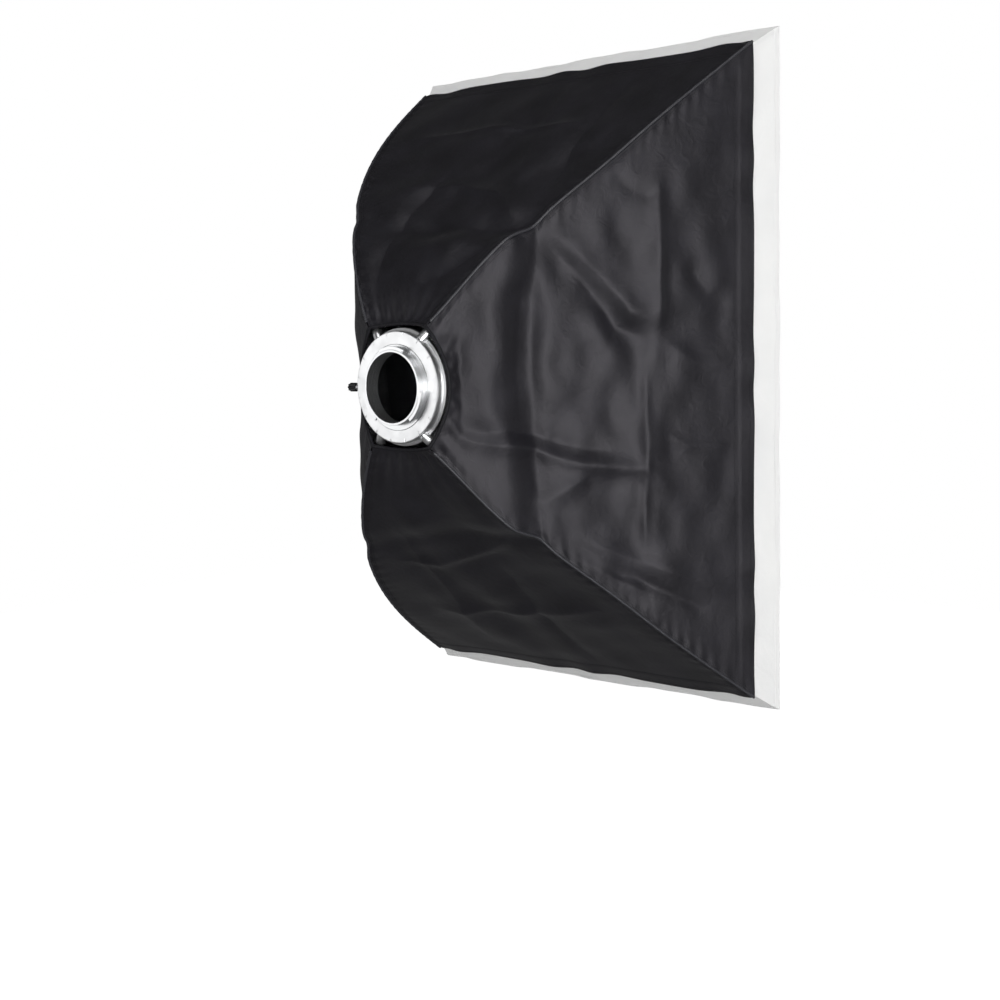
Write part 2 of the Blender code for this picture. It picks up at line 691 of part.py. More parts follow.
make_insert()
make_rod_ring()
make_retainer()
make_lock()
make_rods()
make_shell()
make_front_cover()
make_baffle()
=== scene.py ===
"""Studio softbox: cloth, seams, rods and cover as numpy surfaces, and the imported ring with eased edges."""

import math

import bmesh
import bpy
import numpy as np
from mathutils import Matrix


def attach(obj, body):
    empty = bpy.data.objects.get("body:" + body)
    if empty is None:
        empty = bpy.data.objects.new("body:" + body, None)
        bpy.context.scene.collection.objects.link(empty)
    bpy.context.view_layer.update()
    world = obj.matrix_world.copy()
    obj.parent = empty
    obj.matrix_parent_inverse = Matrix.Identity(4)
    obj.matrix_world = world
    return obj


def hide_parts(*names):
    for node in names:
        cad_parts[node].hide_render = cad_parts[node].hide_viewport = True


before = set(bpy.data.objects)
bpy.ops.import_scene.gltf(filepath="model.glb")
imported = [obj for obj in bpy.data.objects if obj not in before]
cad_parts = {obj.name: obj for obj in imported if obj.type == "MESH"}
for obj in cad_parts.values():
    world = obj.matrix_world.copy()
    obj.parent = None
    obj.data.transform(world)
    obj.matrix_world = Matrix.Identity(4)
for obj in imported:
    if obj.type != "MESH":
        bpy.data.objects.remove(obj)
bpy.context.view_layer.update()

bl_info = {
    "name": "Studio softbox",
    "version": (1, 0, 0),
    "blender": (4, 5, 0),
    "location": "View3D > Sidebar > Softbox",
    "description": "Builds a studio softbox: cloth shell, sprung rods, mounting ring and front cover",
    "category": "Object",
}

# Places fixed by the frame, in metres: depth runs from the ring's seat towards the front
FORWARD = np.array([0.0, -1.0, 0.0])
CORNERS = {
    "top_left": (-1.0, 1.0),
    "top_right": (1.0, 1.0),
    "bottom_right": (1.0, -1.0),
    "bottom_left": (-1.0, -1.0),
}
PANELS = {
    "top": ("top_left", "top_right", np.array([0.0, 0.0, 1.0])),
    "right": ("top_right", "bottom_right", np.array([1.0, 0.0, 0.0])),
    "bottom": ("bottom_right", "bottom_left", np.array([0.0, 0.0, -1.0])),
    "left": ("bottom_left", "top_left", np.array([-1.0, 0.0, 0.0])),
}

# The greatest value of u (1 - u) (2 - u), so that a bow over this is the height of its bend
BEAM_PEAK = 2.0 / (3.0 * math.sqrt(3.0))

# The neck: where the seams start, how the cloth rides over the ring's rim and dips in front of it, as far as
# a share of the panel's length, and the hem round it
NECK_RADIUS = 0.096
NECK_DEPTH = 0.005
NECK_REACH = 0.08
NECK_DIP = 0.01145
HUG_RADIUS = 0.0805
RIM_BLEND = 0.004
NECK_HEM_SETBACK = 0.0036
NECK_HEM_RADIUS = 0.0024
NECK_HEM_GATHERS = 40.0
NECK_HEM_SINK = 0.0005

# The panels: how far they are drawn in between the rods, and how far from a seam's line they stop, as a
# share of the seam's radius
BELLY = 0.014
SEAM_INSET = 0.8

# The rods in their sockets, with their caps and pockets; the rod's end is a share of the seam
GAP = 0.0003
SOCKET_LENGTH = 0.0155
SOCKET_TO_NECK = 0.005
SEAM_TO_ROD = 0.01298
ROD_END = 0.955
CAP_GRIP = 0.012
CAP_NOSE = 0.003
CAP_RADIUS = 0.004
POCKET_LENGTH = 0.024
POCKET_RADIUS = 0.0053
POCKET_WALL = 0.001

# The tapes in the hem, whose start and end are shares of the panel, and the inner baffle with its straps
TAPE_START = 0.955
TAPE_END = 0.99
TAPE_WIDTH = 0.022
TAPE_INSET = 0.0013
TAPE_MARGIN = 0.0033
TAPE_CORNER_CLEAR = 0.050
TAPE_THICKNESS = 0.0012
TAPE_NAP = 0.00012
BAFFLE_MARGIN = 0.030
BAFFLE_PULL = 0.010
BAFFLE_CROWN = 0.006
BAFFLE_RIPPLE = 0.0018
BAFFLE_HEM = 0.011
BAFFLE_HEM_STEP = 0.0005
BAFFLE_STITCHES = 0.009
STRAP_RADIUS = 0.0012

# Rows of stitches, as distances from a seam, from the shell's hem and from the cover's rim
SEAM_STITCHES = (0.0050, 0.0085)
HEM_STITCHES = (0.0060, 0.0270)
RIM_STITCHES = 0.008

# A stitch from end to end: places as shares of its length, radius and lift as shares of the thread's radius;
# it points from one spot to another this far to either side of its middle
STITCH_ALONG = np.array([-0.5, -0.36, 0.0, 0.36, 0.5])
STITCH_RADIUS = np.array([0.30, 0.85, 1.0, 0.85, 0.30])
STITCH_LIFT = np.array([-0.35, 0.25, 0.55, 0.25, -0.35])
STITCH_SIDES = 6
STITCH_AIM = 0.001

# The cover's band: its cloth from edge to edge, the share of it tucked into the hem, how far it reaches
# into the hem at a corner and how much further along a side, and how far it lies inside the shell
BAND_CLOTH = 0.060
BAND_TUCK = 0.34
BAND_REACH = 0.005
BAND_SIDE_REACH = 0.018
BAND_INSET = 0.0046
BAND_TUCK_INSET = 0.0026
BAND_WAVE = 0.0008
RIM_WAVE = 0.0011

# The cover's face: how far its outer rows are turned back over the rim, where that starts, and its fine
# shape. The lip follows the band's flare by how far it is turned back; at a corner by a little less, so
# that the points there don't fall together
FACE_LIP = np.array([0.0075, 0.0045, 0.0012])
FACE_EDGE_X = 0.9965
FACE_EDGE_Z = 0.9975
FACE_HEM = 0.015
CORNER_FOLLOW = 0.96
FACE_STAND_OFF = 0.0002
FACE_RISE = 0.0020
FACE_CROWN = 0.0040
FACE_RIPPLE = 0.0009
FACE_FOLD = 0.0012
FACE_FOLD_WIDTH = 0.006
FACE_SLOW_WAVE = 0.0010

# The shell's slack: a panel's cloth is longer than the shell is deep by the first, rolling waves have a
# range of pitches and a height in proportion, and the rest are heights, pitches and reaches
CLOTH_OVER_DEPTH = 1.55
ROLL_SEED = 40
ROLLS = 14
ROLL_PITCH = (0.045, 0.19)
ROLL_HEIGHT = 0.009
ROLL_PHASE = 6.28
RIDGE_SHARPNESS = 28.0
PUCKER_HEIGHT = 0.0009
PUCKER_PITCH = 0.023
PUCKER_REACH = 0.011
PLEAT_HEIGHT = 0.0016
PLEATS = 7.0
PLEAT_REACH = 0.07
HEM_WAVE = 0.0016
HEM_WAVE_REACH = 0.035
HEM_TURN = 0.0006
HEM_WIDTH = 0.030

# A crease tapers over this share at each end, and is this much sharp ridge and the rest broad
CREASE_TAPER = 0.22
CREASE_SHARP = 0.35
CREASE_BROAD = 1.6

# Folds in each panel, as (place, width, height): one across and one along, left by packing
FOLD_ACROSS = (0.69, 0.045, 0.0035)
FOLD_ALONG = (0.33, 0.060, 0.0030)

# The side panels bend at the fold across them, which stands out as a blunt ridge, as (place, height)
SIDE_RIDGE = (0.69, 0.018)

# The seams are pinched in where the cloth is tied to the rods, as (place, width, depth); the left ones, on
# straighter rods, puff out between the ring and that tie and then draw in
SEAM_PINCH = (0.32, 0.035, 0.0045)
LEFT_PUFF = 0.015
LEFT_DRAW = (0.54, 0.13, 0.004)
PUFF_TOP = 0.24
PUFF_FALL = 0.09

# Creases as (points along the crease in panel shares, half-width, height); a minus sign is a valley
CREASES = {
    "left": [
        ([(0.31, 0.98), (0.46, 0.78), (0.58, 0.62), (0.71, 0.57)], 0.013, -0.0052),
        ([(0.33, 0.99), (0.50, 0.78), (0.62, 0.65), (0.72, 0.60)], 0.010, 0.0034),
        ([(0.70, 0.90), (0.705, 0.58)], 0.007, 0.0026),
        ([(0.67, 0.56), (0.66, 0.29), (0.65, 0.11)], 0.006, 0.0022),
        ([(0.30, 0.90), (0.285, 0.60), (0.29, 0.29)], 0.020, -0.0050),
        ([(0.02, 0.19), (0.25, 0.29), (0.46, 0.29), (0.66, 0.32), (0.76, 0.28)], 0.008, 0.0034),
        ([(0.02, 0.24), (0.25, 0.34), (0.46, 0.33), (0.64, 0.35)], 0.010, -0.0026),
        ([(0.29, 0.08), (0.43, 0.22), (0.50, 0.28)], 0.008, 0.0026),
        ([(0.39, 0.08), (0.52, 0.095), (0.71, 0.13), (0.98, 0.16)], 0.009, 0.0030),
        ([(0.50, 0.03), (0.62, 0.075), (0.72, 0.085), (0.87, 0.10)], 0.007, -0.0044),
        ([(0.41, 0.02), (0.55, 0.04), (0.66, 0.06)], 0.006, 0.0022),
        ([(0.55, 0.98), (0.62, 0.90), (0.70, 0.85)], 0.007, -0.0026),
        ([(0.71, 0.40), (0.78, 0.38), (0.94, 0.39)], 0.006, 0.0018),
        ([(0.78, 0.71), (0.86, 0.64), (0.95, 0.61)], 0.010, -0.0026),
        ([(0.70, 0.58), (0.82, 0.53), (0.97, 0.52)], 0.007, 0.0016),
    ],
    "top": [
        ([(0.06, 0.86), (0.32, 0.74), (0.62, 0.60)], 0.012, -0.0030),
        ([(0.30, 0.05), (0.44, 0.30), (0.50, 0.55), (0.47, 0.80)], 0.011, 0.0030),
        ([(0.40, 0.10), (0.62, 0.22), (0.95, 0.27)], 0.010, -0.0028),
        ([(0.70, 0.95), (0.74, 0.60), (0.72, 0.20)], 0.007, 0.0022),
        ([(0.30, 0.03), (0.16, 0.22), (0.12, 0.42)], 0.013, -0.0034),
        ([(0.72, 0.42), (0.99, 0.47)], 0.010, 0.0026),
    ],
    "bottom": [
        ([(0.28, 0.97), (0.38, 0.66), (0.44, 0.34), (0.40, 0.08)], 0.008, 0.0030),
        ([(0.31, 0.95), (0.41, 0.66), (0.47, 0.36)], 0.010, -0.0024),
        ([(0.62, 0.94), (0.68, 0.55), (0.66, 0.12)], 0.008, 0.0024),
        ([(0.42, 0.62), (0.68, 0.57), (0.98, 0.60)], 0.010, -0.0026),
        ([(0.20, 0.20), (0.55, 0.30), (0.92, 0.28)], 0.009, 0.0022),
    ],
    "right": [
        ([(0.30, 0.03), (0.44, 0.24), (0.60, 0.40), (0.70, 0.43)], 0.013, -0.0046),
        ([(0.70, 0.12), (0.69, 0.50), (0.68, 0.90)], 0.007, 0.0026),
        ([(0.10, 0.70), (0.40, 0.68), (0.72, 0.66), (0.98, 0.68)], 0.008, 0.0028),
        ([(0.30, 0.97), (0.46, 0.84), (0.62, 0.74)], 0.010, -0.0030),
        ([(0.50, 0.97), (0.72, 0.91), (0.95, 0.86)], 0.008, 0.0026),
        ([(0.72, 0.34), (0.96, 0.30)], 0.009, -0.0022),
    ],
}

# Rows and columns of the grids, points round a tube, a direction that no turned piece has, and mesh limits
PANEL_GRID = (190, 190)
FACE_GRID = (170, 230)
BAND_ROWS = 26
BAND_COLUMNS = 110
BAFFLE_GRID = (90, 120)
TAPE_GRID = (14, 120)
TUBE_STEPS = 14
TURNED_STEPS = 36
ASKEW = np.array([0.31, 0.17, 0.93])
SHARP_ANGLE = math.radians(38.0)
BEVEL_ANGLE = math.radians(40.0)
FLAT_ANGLE = math.radians(0.3)
WELD_DISTANCE = 0.000002

# The stage: the floor, and the camera at the photograph's place
FLOOR_HALF = 9.0
FLOOR_LEVEL = -2.0
FLOOR_POINTS = 10
CAMERA_LENS_MM = 52.5312
CAMERA_SENSOR_MM = 36.0
CAMERA_PLACE = (-1.33356, 1.36519, 0.05817)
CAMERA_TURN_DEGREES = (83.7525, 1.2406, -139.7728)

# Lamps as (name, place, target, width and height, watts, seen in reflections, lights matt surfaces)
LAMPS = (
    ("key_lamp", (-2.1, 0.95, -0.05), (-0.12, -0.15, 0.0), (1.0, 1.7), 33.0, True, True),
    ("gloss_lamp", (-2.1, 0.95, -0.05), (-0.12, -0.15, 0.0), (1.0, 1.7), 34.0, True, False),
    ("top_lamp", (-0.7, 1.1, 2.3), (0.0, -0.2, 0.0), (1.6, 1.6), 21.0, True, True),
    ("front_lamp", (1.4, -3.4, 1.2), (0.0, -0.3, 0.0), (2.0, 2.0), 68.0, True, True),
    ("fill_lamp", (2.4, 0.1, 0.5), (0.1, -0.2, 0.0), (2.0, 2.0), 17.0, False, True),
    ("ring_lamp", (1.5, 1.7, 0.15), (0.0, 0.0, 0.0), (1.2, 1.2), 3.1, True, True),
)


# Sizes and colours that a user would change
class SoftboxSizes(bpy.types.PropertyGroup):
    """Sizes of the softbox, in metres."""

    front_width: bpy.props.FloatProperty(
        name="Front width", description="Width of the black shell at its front hem", default=0.600,
        unit="LENGTH",
    )
    front_height: bpy.props.FloatProperty(
        name="Front height", description="Height of the black shell at its front hem", default=0.900,
        unit="LENGTH",
    )
    shell_depth: bpy.props.FloatProperty(
        name="Shell depth", description="Depth of the front hem in front of the ring's seat", default=0.395,
        unit="LENGTH",
    )
    near_bow: bpy.props.FloatProperty(
        name="Left bow", description="How far the left rods bow out from straight", default=0.014,
        unit="LENGTH",
    )
    far_bow: bpy.props.FloatProperty(
        name="Right bow", description="How far the right rods bow out from straight", default=0.062,
        unit="LENGTH",
    )
    cloth: bpy.props.FloatProperty(
        name="Cloth", description="Thickness of the cloth", default=0.0007, unit="LENGTH"
    )
    piping_radius: bpy.props.FloatProperty(
        name="Seam radius", description="Radius of the bound corner seams", default=0.0020, unit="LENGTH"
    )
    rod_radius: bpy.props.FloatProperty(
        name="Rod radius", description="Radius of the spring steel rods", default=0.0025, unit="LENGTH"
    )
    cover_depth: bpy.props.FloatProperty(
        name="Cover depth", description="Depth of the white band in front of the hem", default=0.037,
        unit="LENGTH",
    )
    flare_side: bpy.props.FloatProperty(
        name="Side flare", description="How far the white band stands out at the sides", default=0.018,
        unit="LENGTH",
    )
    flare_top: bpy.props.FloatProperty(
        name="Top flare", description="How far the white band stands out above and below", default=0.022,
        unit="LENGTH",
    )
    baffle_depth: bpy.props.FloatProperty(
        name="Baffle depth", description="Depth of the inner baffle", default=0.220, unit="LENGTH"
    )
    crease_depth: bpy.props.FloatProperty(
        name="Crease depth", description="How strongly the shell is creased, where 1 is lightly", default=1.7
    )
    stitch_pitch: bpy.props.FloatProperty(
        name="Stitch pitch", description="Distance from one stitch to the next", default=0.0042, unit="LENGTH"
    )
    stitch_length: bpy.props.FloatProperty(
        name="Stitch length", description="Length of a stitch on the surface", default=0.0032, unit="LENGTH"
    )
    thread_radius: bpy.props.FloatProperty(
        name="Thread radius", description="Radius of the sewing thread", default=0.00034, unit="LENGTH"
    )


class SoftboxColours(bpy.types.PropertyGroup):
    """Colours of the softbox, as sRGB hex values."""

    shell: bpy.props.StringProperty(name="Shell", description="Black nylon of the shell", default="#0e0d12")
    shell_pale: bpy.props.StringProperty(
        name="Shell, rubbed", description="Black nylon where it is rubbed and dusty", default="#17161c"
    )
    binding: bpy.props.StringProperty(name="Binding", description="Black seam binding", default="#1c1c1f")
    # The piping colour is the charcoal cord painted paler, so that the corner seams show as a light line:
    # partly its own colour, partly a painted highlight
    piping: bpy.props.StringProperty(name="Piping", description="Charcoal seam piping", default="#414147")
    lining: bpy.props.StringProperty(name="Lining", description="Silver coating inside", default="#c4c6c9")
    cover: bpy.props.StringProperty(name="Cover", description="White diffusion nylon", default="#f1f1f0")
    # Cover, shaded: a greyer white, in random clouds on the cover and its thread, and painted shade in the
    # hollows of the hook tape and between the elastic's plies
    cover_grey: bpy.props.StringProperty(
        name="Cover, shaded", description="White nylon where it is thin or creased", default="#e4e5e6"
    )
    ring: bpy.props.StringProperty(name="Ring", description="Cast aluminium ring", default="#ededee")
    insert: bpy.props.StringProperty(name="Insert", description="Turned bayonet insert", default="#e2e3e4")
    steel: bpy.props.StringProperty(name="Steel", description="Plated and spring steel", default="#b4b5b8")
    plastic: bpy.props.StringProperty(name="Plastic", description="Black moulded plastic", default="#1a1a1b")
    floor: bpy.props.StringProperty(name="Floor", description="Studio floor", default="#707070")


# Array helpers
def unit(vectors):
    """Vectors scaled to length one."""
    return vectors / np.linalg.norm(vectors, axis=-1, keepdims=True)


def bump(at, shape):
    """A soft ridge: its height times the exponential of minus the squared distance over its width."""
    middle, width, height = shape
    return height * np.exp(-(((at - middle) / width) ** 2))


def smooth_step(values):
    """Zero below 0, one above 1, and three v squared minus two v cubed between."""
    v = np.clip(values, 0.0, 1.0)
    return v * v * (3.0 - 2.0 * v)


def share_grid(rows, columns):
    """Two arrays of shares from 0 to 1, down the rows and along the columns."""
    return np.meshgrid(np.linspace(0.0, 1.0, rows), np.linspace(0.0, 1.0, columns), indexing="ij")


def normals_of(points):
    """Unit normals of a grid of points: the cross product of its two gradients."""
    return unit(np.cross(np.gradient(points, axis=0), np.gradient(points, axis=1)))


def quads(rows, columns, wrap=False):
    """Corner indices of every cell of a grid, facing along the first gradient crossed with the second."""
    i, j = np.meshgrid(np.arange(rows - 1), np.arange(columns if wrap else columns - 1), indexing="ij")
    k = (j + 1) % columns
    cells = [i * columns + j, (i + 1) * columns + j, (i + 1) * columns + k, i * columns + k]
    return np.stack(cells, -1).reshape(-1, 4)


def border(rows, columns):
    """Indices once round a grid's edge, in the direction of its faces."""
    index = np.arange(rows * columns).reshape(rows, columns)
    return np.concatenate([index[:-1, 0], index[-1, :-1], index[:0:-1, -1], index[0, :0:-1]])


def sheet_faces(rows, columns):
    """Front, back and rim of a thin closed sheet whose second grid lies behind the first."""
    count = rows * columns
    front = quads(rows, columns)
    loop = border(rows, columns)
    after = np.roll(loop, -1)
    rim = np.stack([after, loop, loop + count, after + count], -1)
    return front, front[:, ::-1] + count, rim


def sample(grid, u, t):
    """Bilinear look-up in an evenly spaced grid of points at shares u and t."""
    rows, columns = grid.shape[:2]
    x = np.clip(u, 0.0, 1.0) * (rows - 1)
    y = np.clip(t, 0.0, 1.0) * (columns - 1)
    i = np.minimum(x.astype(int), rows - 2)
    j = np.minimum(y.astype(int), columns - 2)
    p = (x - i)[..., None]
    q = (y - j)[..., None]
    near = grid[i, j] * (1.0 - q) + grid[i, j + 1] * q
    far = grid[i + 1, j] * (1.0 - q) + grid[i + 1, j + 1] * q
    return near * (1.0 - p) + far * p


def distance_along(path):
    """Distance from a path's start to each of its points: the running sum of its steps."""
    return np.concatenate([[0.0], np.cumsum(np.linalg.norm(np.diff(path, axis=0), axis=1))])


# Meshes from arrays
def piece(name, points, faces, looks, uv=None, look_of=None, weld=False):
    """One object at the origin from whole arrays; each item of faces holds faces of one corner count."""
    corners = np.concatenate([part.ravel() for part in faces]).astype(np.int32)
    sides = np.concatenate([np.full(len(part), part.shape[1]) for part in faces])
    mesh = bpy.data.meshes.new(name)
    mesh.vertices.add(len(points))
    mesh.vertices.foreach_set("co", np.ascontiguousarray(points, np.float32).ravel())
    mesh.loops.add(len(corners))
    mesh.loops.foreach_set("vertex_index", corners)
    mesh.polygons.add(len(sides))
    mesh.polygons.foreach_set("loop_start", np.concatenate([[0], np.cumsum(sides)[:-1]]).astype(np.int32))
    for look in looks:
        mesh.materials.append(look)
    if look_of is not None:
        mesh.polygons.foreach_set("material_index", np.ascontiguousarray(look_of, np.int32))
    mesh.update(calc_edges=True)
    if uv is not None:
        layer = mesh.uv_layers.new(name="cloth_metres")
        layer.data.foreach_set("uv", np.ascontiguousarray(uv[corners], np.float32).ravel())
    if weld:
        merge_doubles(mesh)
    mesh.shade_smooth()
    mesh.set_sharp_from_angle(angle=SHARP_ANGLE)
    obj = bpy.data.objects.new(name, mesh)
    bpy.context.scene.collection.objects.link(obj)
    return obj


def merge_doubles(mesh, dissolve=False):
    """Join points that lie together, as at a pole, and with dissolve also flat neighbouring faces."""
    shape = bmesh.new()
    shape.from_mesh(mesh)
    bmesh.ops.remove_doubles(shape, verts=shape.verts, dist=WELD_DISTANCE)
    if dissolve:
        bmesh.ops.dissolve_limit(shape, angle_limit=FLAT_ANGLE, verts=shape.verts, edges=shape.edges)
    shape.to_mesh(mesh)
    shape.free()


def cloth_piece(name, outer, thickness, looks, uv, normals=None):
    """A closed sheet: an outer grid, that grid moved back along its normals by the thickness, and a rim."""
    rows, columns = outer.shape[:2]
    inner = outer - (normals_of(outer) if normals is None else normals) * thickness
    front, back, rim = sheet_faces(rows, columns)
    points = np.concatenate([outer.reshape(-1, 3), inner.reshape(-1, 3)])
    flat = np.concatenate([uv.reshape(-1, 2), uv.reshape(-1, 2)])
    look_of = np.concatenate([np.zeros(len(front)), np.full(len(back), len(looks) - 1), np.zeros(len(rim))])
    return piece(name, points, [front, back, rim], looks, flat, look_of, weld=normals is not None)


def tube_piece(name, path, reference, radius, look, steps=TUBE_STEPS, closed=False):
    """A circle carried along a path: side is the reference crossed with the path, and up completes them."""
    if closed:
        tangent = unit(np.roll(path, -1, axis=0) - np.roll(path, 1, axis=0))
    else:
        tangent = unit(np.gradient(path, axis=0))
    side = unit(np.cross(reference, tangent))
    up = np.cross(tangent, side)
    angle = np.arange(steps) * 2.0 * np.pi / steps
    wide = np.broadcast_to(radius, (len(path),))[:, None, None]
    around = side[:, None] * np.cos(angle)[None, :, None] + up[:, None] * np.sin(angle)[None, :, None]
    rings = path[:, None] + wide * around
    girth = angle * float(np.mean(radius))
    uv = np.stack(np.meshgrid(distance_along(path), girth, indexing="ij"), -1).reshape(-1, 2)
    walls = quads(len(path), steps, wrap=True)[:, ::-1]
    if closed:
        last = (len(path) - 1) * steps
        k = np.arange(steps)
        after = (k + 1) % steps
        walls = np.concatenate([walls, np.stack([last + k, last + after, after, k], -1)])
        return piece(name, rings.reshape(-1, 3), [walls], [look], uv)
    start = np.arange(steps)[None, ::-1]
    end = (len(path) - 1) * steps + np.arange(steps)[None]
    return piece(name, rings.reshape(-1, 3), [walls, start, end], [look], uv)


def turned_piece(name, profile, origin, axis, look, steps=TURNED_STEPS, wave=None):
    """A closed (radius, height) profile turned about an axis; wave scales the radius by height and angle."""
    radius, height = np.array(profile).T
    angle = np.arange(steps) * 2.0 * np.pi / steps
    axis = unit(axis)
    side = unit(np.cross(axis, ASKEW))
    up = np.cross(axis, side)
    spread = radius[:, None] * (1.0 if wave is None else wave(height[:, None], angle[None]))
    ring = side * np.cos(angle)[:, None] + up * np.sin(angle)[:, None]
    points = origin + axis * height[:, None, None] + spread[..., None] * ring
    girth = angle * float(radius.max())
    uv = np.stack(np.meshgrid(distance_along(np.array(profile)), girth, indexing="ij"), -1).reshape(-1, 2)
    walls = quads(len(profile), steps, wrap=True)
    return piece(name, points.reshape(-1, 3), [walls], [look], uv, weld=True)


def stitch_runs(points, normals, places):
    """Points and normals of a grid along each line of places, given as shares u and t."""
    return [(sample(points, u, t), sample(normals, u, t)) for u, t in places]


def stitches_piece(name, runs, size, look):
    """Short capsules along each run of points and normals: they rise out of the cloth and dip at the ends."""
    along = STITCH_ALONG * size.stitch_length
    wide = STITCH_RADIUS * size.thread_radius
    lift = STITCH_LIFT * size.thread_radius
    angle = np.arange(STITCH_SIDES) * 2.0 * np.pi / STITCH_SIDES
    middles, ways, ups = [], [], []
    for line, normal in runs:
        far = distance_along(line)
        at = np.arange(size.stitch_pitch, far[-1] - 0.5 * size.stitch_pitch, size.stitch_pitch)
        before, here, after = (
            np.stack([np.interp(at + shift, far, line[:, k]) for k in range(3)], -1)
            for shift in (-STITCH_AIM, 0.0, STITCH_AIM)
        )
        middles.append(here)
        ways.append(unit(after - before))
        ups.append(np.stack([np.interp(at, far, normal[:, k]) for k in range(3)], -1))
    middle = np.concatenate(middles)
    way = np.concatenate(ways)
    up = np.concatenate(ups)
    up = unit(up - way * np.sum(up * way, axis=-1, keepdims=True))
    side = np.cross(up, way)
    turn = side[:, None, None] * np.cos(angle)[:, None] + up[:, None, None] * np.sin(angle)[:, None]
    points = (
        middle[:, None, None]
        + way[:, None, None] * along[:, None, None]
        + up[:, None, None] * lift[:, None, None]
        + turn * wide[:, None, None]
    )
    each = len(wide) * STITCH_SIDES
    first = np.arange(len(middle))[:, None, None] * each
    walls = (first + quads(len(wide), STITCH_SIDES, wrap=True)[:, ::-1]).reshape(-1, 4)
    start = (first[:, 0] + np.arange(STITCH_SIDES)[::-1]).reshape(-1, STITCH_SIDES)
    end = (first[:, 0] + each - STITCH_SIDES + np.arange(STITCH_SIDES)).reshape(-1, STITCH_SIDES)
    return piece(name, points.reshape(-1, 3), [walls, start, end], [look])


def dressed_copy(node, look, body, slot, ease):
    """A merged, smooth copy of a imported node, its edges eased by a bevel and its flat faces shaded flat."""
    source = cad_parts[node]
    mesh = source.data.copy()
    mesh.name = node + "_finished"
    merge_doubles(mesh, dissolve=True)
    mesh.materials.clear()
    mesh.materials.append(look)
    mesh.shade_smooth()
    mesh.set_sharp_from_angle(angle=SHARP_ANGLE)
    obj = bpy.data.objects.new(node + "_finished", mesh)
    bpy.context.scene.collection.objects.link(obj)
    rounding = obj.modifiers.new("eased_edges", "BEVEL")
    rounding.width = ease
    rounding.segments = 2
    rounding.limit_method = "ANGLE"
    rounding.angle_limit = BEVEL_ANGLE
    flat_faces = obj.modifiers.new("flat_faces", "WEIGHTED_NORMAL")
    flat_faces.keep_sharp = True
    return settle(obj, body, slot, node)


def settle(obj, body, slot, *nodes):
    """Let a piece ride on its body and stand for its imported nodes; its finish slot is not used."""
    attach(obj, body)
    if nodes:
        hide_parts(*nodes)
    return obj


# Seams, rods and panels
def corner_way(size, corner):
    """Unit vector from the ring's axis towards a front corner."""
    x, z = CORNERS[corner]
    return unit(np.array([x * size.front_width, 0.0, z * size.front_height]))


def backward_normal(along, out):
    """Normal to a seam in its own plane, pointing out of the shell."""
    ahead = np.sum(along * FORWARD, axis=-1, keepdims=True)
    aside = np.sum(along * out, axis=-1, keepdims=True)
    return unit(out * ahead - FORWARD * aside)


def seam_terms(size, corner):
    """Start, chord and bow of a corner seam, which bends like a beam held at the ring and free in front."""
    x, z = CORNERS[corner]
    out = corner_way(size, corner)
    start = out * NECK_RADIUS + FORWARD * NECK_DEPTH
    end = np.array([0.5 * x * size.front_width, -size.shell_depth, 0.5 * z * size.front_height])
    bow = size.near_bow if x < 0.0 else size.far_bow
    return start, end - start, backward_normal(end - start, out) * (bow / BEAM_PEAK), out


def seam_tangent(size, corner, u):
    """Direction of a corner seam: the chord plus the bow times two minus six u plus three u squared."""
    _, chord, bowed, _ = seam_terms(size, corner)
    return unit(chord + bowed * (2.0 - 6.0 * u + 3.0 * u * u)[..., None])


def seam_line(size, corner, u, pinched=True):
    """Points of a corner seam: the chord at share u plus the bow times u (1 - u) (2 - u), pinched in at the
    tie, and on the left puffed out before it and drawn in after it."""
    start, chord, bowed, out = seam_terms(size, corner)
    line = start + chord * u[..., None] + bowed * (u * (1.0 - u) * (2.0 - u))[..., None]
    if pinched:
        off = -bump(u, SEAM_PINCH)
        if CORNERS[corner][0] < 0.0:
            puff = smooth_step(u / PUFF_TOP) * (1.0 - smooth_step((u - PUFF_TOP) / PUFF_FALL))
            off = off + LEFT_PUFF * puff - bump(u, LEFT_DRAW)
        line = line + backward_normal(seam_tangent(size, corner, u), out) * off[..., None]
    return line


def rod_line(size, corner, u):
    """Points of a rod: the unpinched seam moved into the shell along its normal."""
    inward = backward_normal(seam_tangent(size, corner, u), corner_way(size, corner))
    return seam_line(size, corner, u, pinched=False) - inward * SEAM_TO_ROD


def crease_height(u, t, long, wide, crease):
    """Height of one crease: a ridge or valley that falls off with the distance from its line, part
    sharply and part broadly, and tapers at its ends."""
    places, half_width, height = crease
    line = np.array(places)
    nearest = np.full(u.shape, np.inf)
    along_line = np.zeros(u.shape)
    ends = distance_along(line)
    ends = ends / ends[-1]
    for k in range(len(line) - 1):
        du = (line[k + 1, 0] - line[k, 0]) * long
        dt = (line[k + 1, 1] - line[k, 1]) * wide
        pu = (u - line[k, 0]) * long
        pt = (t - line[k, 1]) * wide
        share = np.clip((pu * du + pt * dt) / (du * du + dt * dt), 0.0, 1.0)
        distance = np.hypot(pu - share * du, pt - share * dt)
        closer = distance < nearest
        nearest = np.where(closer, distance, nearest)
        along_line = np.where(closer, ends[k] + share * (ends[k + 1] - ends[k]), along_line)
    taper = smooth_step(along_line / CREASE_TAPER) * smooth_step((1.0 - along_line) / CREASE_TAPER)
    sharp = np.exp(-nearest / half_width)
    broad = np.exp(-((nearest / (CREASE_BROAD * half_width)) ** 2))
    return height * taper * (CREASE_SHARP * sharp + (1.0 - CREASE_SHARP) * broad)


